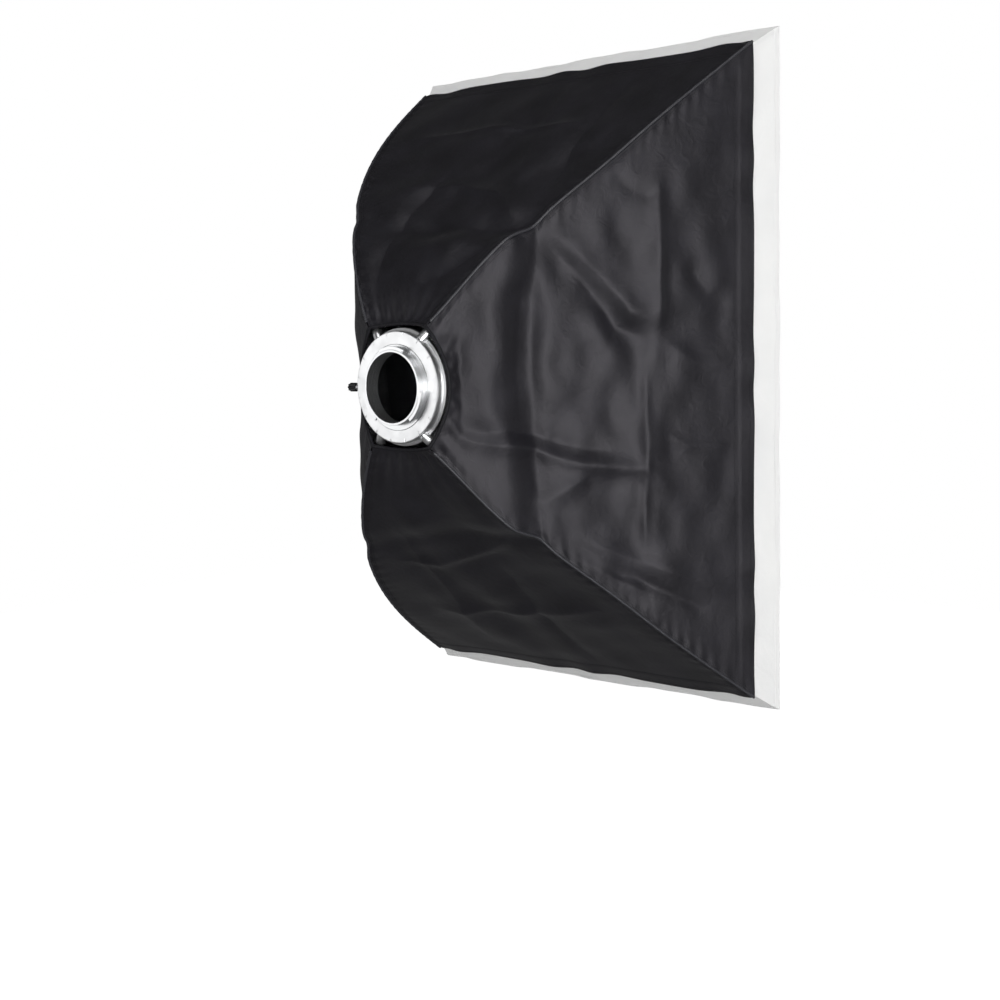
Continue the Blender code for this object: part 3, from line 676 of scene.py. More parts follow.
def rolling_waves(x, y, seed):
    """A sum of sine waves over the cloth, each with its own direction, pitch, height and phase."""
    draw = np.random.default_rng(ROLL_SEED + seed)
    total = np.zeros(x.shape)
    for _ in range(ROLLS):
        turn = draw.uniform(0.0, 2.0 * np.pi)
        pitch = draw.uniform(*ROLL_PITCH)
        height = ROLL_HEIGHT * pitch * draw.uniform(0.4, 1.0)
        phase = draw.uniform(0.0, ROLL_PHASE)
        total += height * np.sin(2.0 * np.pi * (x * np.cos(turn) + y * np.sin(turn)) / pitch + phase)
    return total


def side_ridge(side, u, t, crown):
    """The blunt ridge across a side panel: the soft minimum of two slopes, higher towards the top."""
    if side not in ("left", "right"):
        return np.zeros(u.shape)
    place, height = SIDE_RIDGE
    upward = t if side == "left" else 1.0 - t
    slopes = -RIDGE_SHARPNESS * u / place, -RIDGE_SHARPNESS * (1.0 - u) / (1.0 - place)
    tent = -np.logaddexp(*slopes) / RIDGE_SHARPNESS
    return height * np.clip(tent, 0.0, 1.0) * crown * (0.40 + 0.60 * upward)


def seam_pucker(x, edge, seed):
    """Puckers where a seam's thread draws the cloth up: a sine along it with a slow beat, which fades."""
    beat = 1.0 + 0.5 * np.sin(x / 0.043 + seed)
    wave = np.sin(2.0 * np.pi * x / PUCKER_PITCH + 2.0 * np.sin(x / 0.061))
    return PUCKER_HEIGHT * beat * wave * np.exp(-edge / PUCKER_REACH) * smooth_step(edge / 0.004)


def neck_pleats(u, t, edge, seed):
    """Pleats gathered into the neck: a sine across the panel, fading along it and at its edges."""
    wave = np.sin(2.0 * np.pi * PLEATS * t + 1.3 * seed)
    return PLEAT_HEIGHT * wave * np.exp(-u / PLEAT_REACH) * smooth_step(edge / 0.01) * smooth_step(u / 0.03)


def wavy_hem(y, hem, edge):
    """The front hem: a step up where the cloth is turned in double, and a sine along its edge that fades."""
    wave = np.sin(y / 0.021 + 1.7 * np.sin(y / 0.047)) * np.exp(-hem / HEM_WAVE_REACH)
    step = smooth_step((HEM_WIDTH - hem) / 0.003)
    return HEM_WAVE * wave * smooth_step(edge / 0.03) + HEM_TURN * step * smooth_step(edge / 0.006)


def slack(size, side, u, t, wide):
    """How far the cloth stands off its stretched form: the sum of the ridge, rolling waves and creases
    that die out at the edges, puckers at the seams, pleats at the neck and the hem."""
    seed = list(PANELS).index(side)
    long = size.shell_depth * CLOTH_OVER_DEPTH
    x = u * long
    y = (t - 0.5) * wide
    edge = np.minimum(t, 1.0 - t) * wide
    hem = (1.0 - u) * long
    crown = np.sqrt(np.clip(4.0 * t * (1.0 - t), 0.0, 1.0))
    free = crown * np.sin(np.pi * np.clip(u, 0.0, 1.0)) ** 0.5
    free = free * smooth_step((edge - 0.002) / 0.012) * smooth_step((hem - 0.026) / 0.045)
    creased = size.crease_depth * sum(crease_height(u, t, long, wide, crease) for crease in CREASES[side])
    loose = free * (rolling_waves(x, y, seed) + creased)
    gathered = seam_pucker(x, edge, seed) + neck_pleats(u, t, edge, seed)
    return side_ridge(side, u, t, crown) + loose + gathered + wavy_hem(y, hem, edge)


def panel_grid(size, side, u, t, margin):
    """Outer face of a panel before it wrinkles, and its width: straight from seam to seam, lifted round
    the ring's rim, drawn in by a belly between the rods and raised along its packing folds."""
    first, second, out = PANELS[side]
    a = seam_line(size, first, u)
    b = seam_line(size, second, u)
    wide = np.linalg.norm(b - a, axis=-1)
    inset = margin / wide
    base = a + (b - a) * (inset + t * (1.0 - 2.0 * inset))[..., None]
    crown = 4.0 * t * (1.0 - t)
    half = 0.5 * (HUG_RADIUS - (0.5 * (a + b)) @ out)
    hug = half + np.sqrt(half * half + RIM_BLEND * RIM_BLEND)
    near_neck = np.exp(-((u / NECK_REACH) ** 2))
    belly = BELLY * np.sin(np.pi * u) * (1.0 - near_neck)
    folds = crown * np.sin(np.pi * u) * (bump(u, FOLD_ACROSS) + bump(t, FOLD_ALONG))
    lifted = base + out * (crown * (hug - belly) + folds)[..., None]
    return lifted + FORWARD * (NECK_DIP * crown * near_neck)[..., None], wide


def panel_surface(size, side, u, t, margin):
    """A wrinkled panel and its width: the stretched form moved by the slack along its normals."""
    smooth_form, wide = panel_grid(size, side, u, t, margin)
    return smooth_form + normals_of(smooth_form) * slack(size, side, u, t, wide)[..., None], wide


# Finishes
def linear(hex_colour):
    """Linear RGBA of an sRGB hex value."""
    value = np.array([int(hex_colour[k:k + 2], 16) for k in (1, 3, 5)]) / 255.0
    curve = np.where(value <= 0.04045, value / 12.92, ((value + 0.055) / 1.055) ** 2.4)
    return (*curve.tolist(), 1.0)


def feed(tree, node, inputs):
    """Set a node's inputs: each value is a number, a colour or the socket that it is linked from."""
    for name, value in inputs.items():
        if isinstance(value, bpy.types.NodeSocket):
            tree.links.new(value, node.inputs[name])
        else:
            node.inputs[name].default_value = value


def add(tree, kind, inputs=None, **settings):
    """Add a shader node with its settings, and feed its inputs."""
    node = tree.nodes.new("ShaderNode" + kind)
    for name, value in settings.items():
        setattr(node, name, value)
    feed(tree, node, inputs or {})
    return node


def finish(name, build):
    """The finish of that name; build fills its nodes the first time it is asked for."""
    look = bpy.data.materials.get(name)
    if look is None:
        look = bpy.data.materials.new(name)
        look.use_nodes = True
        build(look.node_tree, look.node_tree.nodes["Principled BSDF"], bpy.context.scene.softbox_colours)
    return look


# A wave texture repeats every 2 pi / 20 units at scale one
WAVE_PERIOD = 2.0 * math.pi / 20.0


def wave_scale(size_mm):
    """Scale at which bands on coordinates in metres lie this far apart."""
    return WAVE_PERIOD / (size_mm / 1000.0)


def blot_scale(size_mm):
    """Scale at which noise on coordinates in metres has blots of about this size."""
    return 1000.0 / size_mm


def plain_weave(tree, uv, spacing_mm, wander):
    """Height of a plain weave: bands one way times bands the other way, which wander a little."""
    bands = {"Vector": uv, "Scale": wave_scale(spacing_mm), **wander}
    warp = add(tree, "TexWave", bands)
    weft = add(tree, "TexWave", bands, bands_direction="Y")
    crossed = add(tree, "Math", {0: warp.outputs["Fac"], 1: weft.outputs["Fac"]}, operation="MULTIPLY")
    return crossed.outputs["Value"]


def ray_kinds(tree):
    """Two factors: one for rays from the camera, and one for rays that a shiny surface sends on."""
    rays = add(tree, "LightPath")
    mirrored = add(
        tree, "Math", {0: rays.outputs["Is Glossy Ray"], 1: rays.outputs["Is Transmission Ray"]},
        operation="MAXIMUM",
    )
    return rays.outputs["Is Camera Ray"], mirrored.outputs["Value"]


# Coated nylon, plain woven: dull black with a soft sheen and fine crinkles, rubbed paler in clouds and
# specked with lint. Real threads lie about 0.3 mm apart; weave and lint are drawn coarser so that they show
def nylon_shell(tree, shader, colour):
    thread_mm = 1.1
    lint_mm = 2.2
    crinkle_mm = 18.0
    cloud_mm = 70.0
    uv = add(tree, "TexCoord").outputs["UV"]
    weave = plain_weave(tree, uv, thread_mm, {"Distortion": 0.6, "Detail": 1.0, "Detail Scale": 2.0})
    cloud = add(
        tree, "TexNoise", {"Vector": uv, "Scale": blot_scale(cloud_mm), "Detail": 5.0, "Roughness": 0.6}
    )
    rubbed = add(tree, "MapRange", {"Value": cloud.outputs["Fac"], "From Min": 0.38, "From Max": 0.72})
    lint = add(tree, "TexNoise", {"Vector": uv, "Scale": blot_scale(lint_mm), "Detail": 2.0})
    specks = add(
        tree, "MapRange", {"Value": lint.outputs["Fac"], "From Min": 0.64, "From Max": 0.80, "To Max": 0.55}
    )
    worn = add(tree, "Math", {0: rubbed.outputs["Result"], 1: specks.outputs["Result"]}, operation="MAXIMUM")
    tint = add(
        tree, "Mix", {0: worn.outputs["Value"], 6: linear(colour.shell), 7: linear(colour.shell_pale)},
        data_type="RGBA",
    )
    gloss = add(tree, "MapRange", {"Value": cloud.outputs["Fac"], "To Min": 0.40, "To Max": 0.54})
    crinkle = add(
        tree, "TexNoise", {"Vector": uv, "Scale": blot_scale(crinkle_mm), "Detail": 4.0, "Distortion": 1.2}
    )
    soft = add(tree, "Bump", {"Height": crinkle.outputs["Fac"], "Strength": 0.35, "Distance": 0.0016})
    thread = add(
        tree, "Bump",
        {"Height": weave, "Strength": 0.30, "Distance": 0.0003, "Normal": soft.outputs["Normal"]},
    )
    feed(tree, shader, {
        "Base Color": tint.outputs[2],
        "Roughness": gloss.outputs["Result"],
        "Specular IOR Level": 0.42,
        "Specular Tint": (0.97, 0.94, 1.0, 1.0),
        "Sheen Weight": 0.03,
        "Sheen Roughness": 0.45,
        "Normal": thread.outputs["Normal"],
    })


# Silver-coated nylon lining: a thin metallic film with fine crinkles, which shows the weave under it; the
# weave is drawn coarser than the real one so that it shows
def silver_lining(tree, shader, colour):
    thread_mm = 1.3
    crinkle_mm = 12.0
    uv = add(tree, "TexCoord").outputs["UV"]
    weave = plain_weave(tree, uv, thread_mm, {"Distortion": 0.4})
    crinkle = add(
        tree, "TexNoise", {"Vector": uv, "Scale": blot_scale(crinkle_mm), "Detail": 5.0, "Distortion": 1.5}
    )
    film = add(tree, "Bump", {"Height": crinkle.outputs["Fac"], "Strength": 0.45, "Distance": 0.0012})
    thread = add(
        tree, "Bump",
        {"Height": weave, "Strength": 0.30, "Distance": 0.0003, "Normal": film.outputs["Normal"]},
    )
    gloss = add(tree, "MapRange", {"Value": crinkle.outputs["Fac"], "To Min": 0.34, "To Max": 0.52})
    feed(tree, shader, {
        "Base Color": linear(colour.lining),
        "Metallic": 0.9,
        "Roughness": gloss.outputs["Result"],
        "Normal": thread.outputs["Normal"],
    })


# Black polyester binding: ribbed tape round the raw edges, matt and a little fluffy; its ribs are drawn
# about twice as coarse as real ones so that they show
def seam_binding(tree, shader, colour):
    rib_mm = 1.4
    fluff_mm = 4.0
    uv = add(tree, "TexCoord").outputs["UV"]
    rib = add(tree, "TexWave", {"Vector": uv, "Scale": wave_scale(rib_mm), "Distortion": 0.8})
    fluff = add(tree, "TexNoise", {"Vector": uv, "Scale": blot_scale(fluff_mm), "Detail": 3.0})
    tint = add(
        tree, "Mix", {0: fluff.outputs["Fac"], 6: linear(colour.binding), 7: linear(colour.shell_pale)},
        data_type="RGBA",
    )
    ridges = add(tree, "Bump", {"Height": rib.outputs["Fac"], "Strength": 0.5, "Distance": 0.0004})
    feed(tree, shader, {
        "Base Color": tint.outputs[2],
        "Roughness": 0.62,
        "Specular IOR Level": 0.2,
        "Normal": ridges.outputs["Normal"],
    })


# Satin polyester piping on the corner seams: a charcoal cord, painted paler than its own colour so that
# each seam shows as a light line, a painted highlight; the ridges of its twist take that pale colour and
# its grooves the dark binding colour, painted highlight and shade. The twist is drawn about twice as coarse
# as a real one so that it shows
def seam_piping(tree, shader, colour):
    twist_mm = 1.6
    uv = add(tree, "TexCoord").outputs["UV"]
    twist = add(
        tree, "TexWave", {"Vector": uv, "Scale": wave_scale(twist_mm), "Distortion": 1.2},
        bands_direction="DIAGONAL",
    )
    # Painted highlight and shade: the twist's ridges take the pale piping colour and its grooves the dark
    # binding colour
    tint = add(
        tree, "Mix", {0: twist.outputs["Fac"], 6: linear(colour.binding), 7: linear(colour.piping)},
        data_type="RGBA",
    )
    ridges = add(tree, "Bump", {"Height": twist.outputs["Fac"], "Strength": 0.4, "Distance": 0.0003})
    feed(tree, shader, {
        "Base Color": tint.outputs[2],
        "Roughness": 0.45,
        "Normal": ridges.outputs["Normal"],
    })


# Spun polyester thread: short plies with a slight lustre, drawn coarser than real ones so that they show
def spun_thread(tree, shader, first, second, roughness):
    ply_mm = 1.2
    place = add(tree, "TexCoord").outputs["Object"]
    ply = add(tree, "TexNoise", {"Vector": place, "Scale": blot_scale(ply_mm), "Detail": 2.0})
    tint = add(tree, "Mix", {0: ply.outputs["Fac"], 6: linear(first), 7: linear(second)}, data_type="RGBA")
    feed(tree, shader, {"Base Color": tint.outputs[2], "Roughness": roughness, "Specular IOR Level": 0.3})


# The thread in black, as on the shell
def black_thread(tree, shader, colour):
    spun_thread(tree, shader, colour.binding, colour.shell_pale, 0.55)


# The thread in white, as on the cover and the baffle
def white_thread(tree, shader, colour):
    spun_thread(tree, shader, colour.cover_grey, colour.cover, 0.6)


# White diffusion nylon: soft matt white, greyer where it is thin or creased, over a fine weave that is
# drawn coarser than the real one so that it shows
def diffusion_nylon(tree, shader, colour):
    thread_mm = 1.0
    crinkle_mm = 22.0
    cloud_mm = 90.0
    uv = add(tree, "TexCoord").outputs["UV"]
    weave = plain_weave(tree, uv, thread_mm, {"Distortion": 0.5})
    cloud = add(
        tree, "TexNoise", {"Vector": uv, "Scale": blot_scale(cloud_mm), "Detail": 5.0, "Roughness": 0.55}
    )
    thin = add(
        tree, "MapRange", {"Value": cloud.outputs["Fac"], "From Min": 0.35, "From Max": 0.75, "To Max": 0.55}
    )
    tint = add(
        tree, "Mix", {0: thin.outputs["Result"], 6: linear(colour.cover), 7: linear(colour.cover_grey)},
        data_type="RGBA",
    )
    crinkle = add(
        tree, "TexNoise", {"Vector": uv, "Scale": blot_scale(crinkle_mm), "Detail": 4.0, "Distortion": 1.0}
    )
    soft = add(tree, "Bump", {"Height": crinkle.outputs["Fac"], "Strength": 0.30, "Distance": 0.0014})
    thread = add(
        tree, "Bump",
        {"Height": weave, "Strength": 0.25, "Distance": 0.0002, "Normal": soft.outputs["Normal"]},
    )
    feed(tree, shader, {
        "Base Color": tint.outputs[2],
        "Roughness": 0.72,
        "Specular IOR Level": 0.25,
        "Sheen Weight": 0.1,
        "Sheen Roughness": 0.5,
        "Normal": thread.outputs["Normal"],
    })


# Hook tape: white moulded nylon hooks, in rows as far apart as real ones, white on the hooks and grey in the
# hollows between them, which is painted shade
def hook_rows(tree, shader, colour):
    hook_mm = 1.6
    uv = add(tree, "TexCoord").outputs["UV"]
    hooks = plain_weave(tree, uv, hook_mm, {"Distortion": 0.3})
    raised = add(tree, "Bump", {"Height": hooks, "Strength": 0.9, "Distance": 0.0008})
    # Painted shade: grey in the hollows between the hooks, white on the hooks
    tint = add(
        tree, "Mix", {0: hooks, 6: linear(colour.cover_grey), 7: linear(colour.cover)}, data_type="RGBA"
    )
    feed(tree, shader, {
        "Base Color": tint.outputs[2],
        "Roughness": 0.45,
        "Normal": raised.outputs["Normal"],
    })


# Loop tape: black brushed nylon pile, matt and uneven; its tufts are drawn larger so that they show
def loop_pile(tree, shader, colour):
    tuft_mm = 1.6
    uv = add(tree, "TexCoord").outputs["UV"]
    pile = add(
        tree, "TexNoise", {"Vector": uv, "Scale": blot_scale(tuft_mm), "Detail": 4.0, "Roughness": 0.7}
    )
    tint = add(
        tree, "Mix", {0: pile.outputs["Fac"], 6: linear(colour.binding), 7: linear(colour.shell_pale)},
        data_type="RGBA",
    )
    fuzz = add(tree, "Bump", {"Height": pile.outputs["Fac"], "Strength": 0.9, "Distance": 0.0008})
    feed(tree, shader, {
        "Base Color": tint.outputs[2],
        "Roughness": 0.9,
        "Specular IOR Level": 0.1,
        "Sheen Weight": 0.25,
        "Normal": fuzz.outputs["Normal"],
    })


# Braided elastic: white cotton over rubber, with slanting plies that are drawn coarser so that they show,
# white on the plies and grey in the grooves between them, which is painted shade
def braided_elastic(tree, shader, colour):
    ply_mm = 1.5
    uv = add(tree, "TexCoord").outputs["UV"]
    turned_uv = add(tree, "Mapping", {"Vector": uv, "Rotation": (0.0, 0.0, math.radians(45.0))})
    plies = add(tree, "TexWave", {"Vector": turned_uv.outputs["Vector"], "Scale": wave_scale(ply_mm)})
    # Painted shade: grey in the grooves between the plies, white on the plies
    tint = add(
        tree, "Mix", {0: plies.outputs["Fac"], 6: linear(colour.cover_grey), 7: linear(colour.cover)},
        data_type="RGBA",
    )
    braid = add(tree, "Bump", {"Height": plies.outputs["Fac"], "Strength": 0.7, "Distance": 0.0003})
    feed(tree, shader, {"Base Color": tint.outputs[2], "Roughness": 0.8, "Normal": braid.outputs["Normal"]})


# Cast aluminium, tumbled: bright satin grey with faint handling marks, and a grain that is drawn coarser
# than the real one so that it shows
def cast_aluminium(tree, shader, colour):
    grain_mm = 1.2
    smear_mm = 20.0
    place = add(tree, "TexCoord").outputs["Object"]
    grain = add(tree, "TexNoise", {"Vector": place, "Scale": blot_scale(grain_mm), "Detail": 4.0})
    smear = add(
        tree, "TexNoise", {"Vector": place, "Scale": blot_scale(smear_mm), "Detail": 4.0, "Distortion": 0.8}
    )
    tint = add(
        tree, "Mix", {0: smear.outputs["Fac"], 6: linear(colour.ring), 7: linear(colour.insert)},
        data_type="RGBA",
    )
    gloss = add(tree, "MapRange", {"Value": smear.outputs["Fac"], "To Min": 0.26, "To Max": 0.44})
    skin = add(tree, "Bump", {"Height": grain.outputs["Fac"], "Strength": 0.12, "Distance": 0.0002})
    feed(tree, shader, {
        "Base Color": tint.outputs[2],
        "Metallic": 1.0,
        "Roughness": gloss.outputs["Result"],
        "Normal": skin.outputs["Normal"],
    })


# Turned aluminium: concentric tool marks round the bore, so light fans out across the faces; they are
# drawn coarser than real ones so that they show
def turned_aluminium(tree, shader, colour):
    tool_mark_mm = 0.5
    place = add(tree, "TexCoord").outputs["Object"]
    axes = add(tree, "SeparateXYZ", {"Vector": place})
    flat = add(tree, "CombineXYZ", {"X": axes.outputs["X"], "Y": axes.outputs["Z"]})
    radius = add(tree, "VectorMath", {0: flat.outputs["Vector"]}, operation="LENGTH")
    reach = add(tree, "Math", {0: radius.outputs["Value"], 1: axes.outputs["Y"]}, operation="ADD")
    marks = add(
        tree, "TexNoise", {"W": reach.outputs["Value"], "Scale": blot_scale(tool_mark_mm), "Detail": 2.0},
        noise_dimensions="1D",
    )
    gloss = add(tree, "MapRange", {"Value": marks.outputs["Fac"], "To Min": 0.20, "To Max": 0.40})
    grooves = add(tree, "Bump", {"Height": marks.outputs["Fac"], "Strength": 0.15, "Distance": 0.0001})
    feed(tree, shader, {
        "Base Color": linear(colour.insert),
        "Metallic": 1.0,
        "Roughness": gloss.outputs["Result"],
        "Normal": grooves.outputs["Normal"],
    })


# Zinc-plated steel: cool grey with a faint mottle from the plating bath
def plated_steel(tree, shader, colour):
    mottle_mm = 1.5
    place = add(tree, "TexCoord").outputs["Object"]
    bath = add(tree, "TexNoise", {"Vector": place, "Scale": blot_scale(mottle_mm), "Detail": 3.0})
    gloss = add(tree, "MapRange", {"Value": bath.outputs["Fac"], "To Min": 0.22, "To Max": 0.42})
    feed(tree, shader, {
        "Base Color": linear(colour.steel),
        "Metallic": 1.0,
        "Roughness": gloss.outputs["Result"],
    })


# Spring steel wire: drawn bright, with paler patches where oil has dried and long lines along it, which
# are drawn wider than real ones so that they show
def spring_wire(tree, shader, colour):
    line_length_mm = 50.0
    line_width_mm = 0.4
    oil_mm = 50.0
    uv = add(tree, "TexCoord").outputs["UV"]
    stretch = (blot_scale(line_length_mm), blot_scale(line_width_mm), 1.0)
    stretched = add(tree, "Mapping", {"Vector": uv, "Scale": stretch})
    drawn = add(tree, "TexNoise", {"Vector": stretched.outputs["Vector"], "Scale": 1.0, "Detail": 3.0})
    oil = add(tree, "TexNoise", {"Vector": uv, "Scale": blot_scale(oil_mm), "Detail": 3.0})
    tint = add(
        tree, "Mix", {0: oil.outputs["Fac"], 6: linear(colour.steel), 7: linear(colour.lining)},
        data_type="RGBA",
    )
    gloss = add(tree, "MapRange", {"Value": drawn.outputs["Fac"], "To Min": 0.18, "To Max": 0.42})
    feed(tree, shader, {"Base Color": tint.outputs[2], "Metallic": 1.0, "Roughness": gloss.outputs["Result"]})


# Black moulded ABS: a soft gloss over spark-eroded grain, which is drawn coarser so that it shows
def moulded_abs(tree, shader, colour):
    spark_mm = 0.5
    place = add(tree, "TexCoord").outputs["Object"]
    spark = add(tree, "TexNoise", {"Vector": place, "Scale": blot_scale(spark_mm), "Detail": 3.0})
    tint = add(
        tree, "Mix", {0: spark.outputs["Fac"], 6: linear(colour.plastic), 7: linear(colour.shell)},
        data_type="RGBA",
    )
    grain = add(tree, "Bump", {"Height": spark.outputs["Fac"], "Strength": 0.25, "Distance": 0.0002})
    gloss = add(tree, "MapRange", {"Value": spark.outputs["Fac"], "To Min": 0.38, "To Max": 0.55})
    feed(tree, shader, {
        "Base Color": tint.outputs[2],
        "Roughness": gloss.outputs["Result"],
        "Normal": grain.outputs["Normal"],
    })


# Studio floor: matt grey paint that a lift turns pale under the object, so that its shadow shows, and
# white further out; other surfaces get less of the lift, and reflections hardly any
def studio_floor(tree, shader, colour):
    place = add(tree, "TexCoord").outputs["Object"]
    axes = add(tree, "SeparateXYZ", {"Vector": place})
    flat = add(tree, "CombineXYZ", {"X": axes.outputs["X"], "Y": axes.outputs["Y"]})
    away = add(tree, "VectorMath", {0: flat.outputs["Vector"]}, operation="LENGTH")
    fade = add(
        tree, "MapRange", {"Value": away.outputs["Value"], "From Min": 1.3, "From Max": 2.5, "To Min": 0.66},
        interpolation_type="SMOOTHSTEP",
    )
    from_camera, mirrored = ray_kinds(tree)
    dimmed = add(tree, "MapRange", {"Value": mirrored, "To Min": 0.40, "To Max": 0.04})
    seen = add(tree, "Math", {0: from_camera, 1: dimmed.outputs["Result"]}, operation="MAXIMUM")
    lift = add(tree, "Math", {0: seen.outputs["Value"], 1: fade.outputs["Result"]}, operation="MULTIPLY")
    feed(tree, shader, {
        "Base Color": linear(colour.floor),
        "Roughness": 0.9,
        "Specular IOR Level": 0.0,
        "Emission Color": (1.0, 1.0, 1.0, 1.0),
        "Emission Strength": lift.outputs["Value"],
    })


# Operators, one for each group of like pieces
class SOFTBOX_OT_shell_panels(bpy.types.Operator):
    """Make the four wrinkled panels of the black shell, silver inside, with their sewn hems"""

    bl_idname = "softbox.shell_panels"
    bl_label = "Shell panels"

    def execute(self, context):
        size = context.scene.softbox_sizes
        outside = finish("coated_nylon_black", nylon_shell)
        inside = finish("silver_coated_nylon", silver_lining)
        thread = finish("polyester_thread_black", black_thread)
        u, t = share_grid(*PANEL_GRID)
        margin = SEAM_INSET * size.piping_radius
        for side, (first, second, _) in PANELS.items():
            face, wide = panel_surface(size, side, u, t, margin)
            flat_form, _ = panel_grid(size, side, u, t, margin)
            long = float(np.linalg.norm(np.diff(flat_form[:, PANEL_GRID[1] // 2], axis=0), axis=1).sum())
            uv = np.stack([u * long, (t - 0.5) * wide], -1)
            cloth = cloth_piece(f"shell_panel_{side}", face, size.cloth, [outside, inside], uv)
            settle(cloth, "softbox", "black_cloth", f"panel_{side}")
            runs = stitch_runs(face, normals_of(face), self.stitch_places(u[:, 0], wide[:, 0], long))
            sewn = stitches_piece(f"shell_stitches_{side}", runs, size, thread)
            settle(sewn, "softbox", "black_trim")
        return {"FINISHED"}

    def stitch_places(self, u, wide, long):
        """Lines of stitches as shares: rows at set distances from both seams, then rows along the hem."""
        down = np.linspace(0.03, 0.985, 300)
        across = np.linspace(0.012, 0.988, 300)
        places = []
        for distance in SEAM_STITCHES:
            inset = distance / np.interp(down, u, wide)
            places += [(down, inset), (down, 1.0 - inset)]
        for distance in HEM_STITCHES:
            places.append((np.full(across.shape, 1.0 - distance / long), across))
        return places


class SOFTBOX_OT_seams_and_hem(bpy.types.Operator):
    """Make the bound corner seams and the gathered hem round the neck"""

    bl_idname = "softbox.seams_and_hem"
    bl_label = "Seams and neck hem"

    def execute(self, context):
        size = context.scene.softbox_sizes
        tape = finish("ribbed_polyester_binding", seam_binding)
        cord = finish("satin_polyester_piping", seam_piping)
        u = np.linspace(0.010, 0.998, 170)
        for corner in CORNERS:
            line = seam_line(size, corner, u)
            across = np.cross(corner_way(size, corner), FORWARD)
            swell = size.piping_radius * (1.0 + 0.10 * np.sin(u * 190.0) * np.sin(u * 37.0))
            binding = tube_piece(f"seam_binding_{corner}", line, across, swell, cord)
            settle(binding, "softbox", "black_trim", f"seam_piping_{corner}")
        loop = []
        rows, columns = share_grid(12, 60)
        for side in PANELS:
            form, _ = panel_grid(size, side, rows * 0.05, columns, SEAM_INSET * size.piping_radius)
            along = unit(form[1] - form[0])
            loop.append((form[0] - normals_of(form)[0] * NECK_HEM_SINK - along * 0.5 * NECK_HEM_SETBACK)[:-1])
        line = np.concatenate(loop)
        turn = np.arange(len(line)) * 2.0 * np.pi / len(line)
        gathered = NECK_HEM_RADIUS * (1.0 + 0.10 * np.sin(turn * NECK_HEM_GATHERS))
        hem = tube_piece("neck_hem_casing", line, FORWARD, gathered, tape, closed=True)
        settle(hem, "softbox", "black_trim", "neck_hem")
        return {"FINISHED"}


class SOFTBOX_OT_rods(bpy.types.Operator):
    """Make the four sprung rods with their moulded caps and sewn corner pockets"""

    bl_idname = "softbox.rods"
    bl_label = "Rods, caps and pockets"

    def execute(self, context):
        size = context.scene.softbox_sizes
        wire = finish("spring_steel_wire", spring_wire)
        plastic = finish("moulded_abs_black", moulded_abs)
        tape = finish("ribbed_polyester_binding", seam_binding)
        bore = size.rod_radius + GAP
        cap_profile = [
            (0.0, CAP_NOSE),
            (0.45 * CAP_RADIUS, 0.92 * CAP_NOSE),
            (0.80 * CAP_RADIUS, 0.65 * CAP_NOSE),
            (CAP_RADIUS, 0.2 * CAP_NOSE),
            (CAP_RADIUS, -0.55 * CAP_GRIP),
            (0.93 * CAP_RADIUS, -0.60 * CAP_GRIP),
            (0.93 * CAP_RADIUS, -0.66 * CAP_GRIP),
            (CAP_RADIUS, -0.71 * CAP_GRIP),
            (CAP_RADIUS, -0.97 * CAP_GRIP),
            (0.95 * CAP_RADIUS, -CAP_GRIP),
            (bore, -CAP_GRIP),
            (bore, 0.0),
            (0.0, 0.0),
        ]
        wall = POCKET_RADIUS - POCKET_WALL
        pocket_profile = [
            (0.0, 0.001),
            (0.5 * POCKET_RADIUS, 0.0008),
            (0.82 * POCKET_RADIUS, 0.0),
            (POCKET_RADIUS, -0.002),
            (1.02 * POCKET_RADIUS, -0.4 * POCKET_LENGTH),
            (POCKET_RADIUS, -0.72 * POCKET_LENGTH),
            (1.05 * POCKET_RADIUS, -0.76 * POCKET_LENGTH),
            (1.06 * POCKET_RADIUS, -0.98 * POCKET_LENGTH),
            (POCKET_RADIUS, -POCKET_LENGTH),
            (wall, -POCKET_LENGTH),
            (wall, -0.0005),
            (0.0, -0.0005),
        ]

        def gathered(height, angle):
            """Share of the radius: a sine of the angle that twists along the pocket and fades at its tip."""
            return 1.0 + 0.035 * np.sin(9.0 * angle + 90.0 * height) * smooth_step(-height / 0.004)

        for corner in CORNERS:
            along = seam_tangent(size, corner, np.array([0.0]))[0]
            mouth = rod_line(size, corner, np.array([0.0]))[0] - along * SOCKET_TO_NECK
            path = np.concatenate([
                [mouth - along * (SOCKET_LENGTH - GAP)],
                rod_line(size, corner, np.linspace(0.0, ROD_END, 90)),
            ])
            across = np.cross(corner_way(size, corner), FORWARD)
            rod = tube_piece(f"sprung_rod_{corner}", path, across, size.rod_radius, wire, steps=16)
            settle(rod, "softbox", "spring_steel", f"rod_{corner}")
            out = seam_tangent(size, corner, np.array([ROD_END]))[0]
            cap = turned_piece(f"moulded_cap_{corner}", cap_profile, path[-1] + out * GAP, out, plastic)
            settle(cap, "softbox", "black_plastic", f"rod_cap_{corner}")
            end = path[-1] + out * (CAP_NOSE + 2.0 * GAP)
            pocket = turned_piece(f"sewn_pocket_{corner}", pocket_profile, end, out, tape, 45, gathered)
            settle(pocket, "softbox", "black_trim", f"corner_pocket_{corner}")
        return {"FINISHED"}


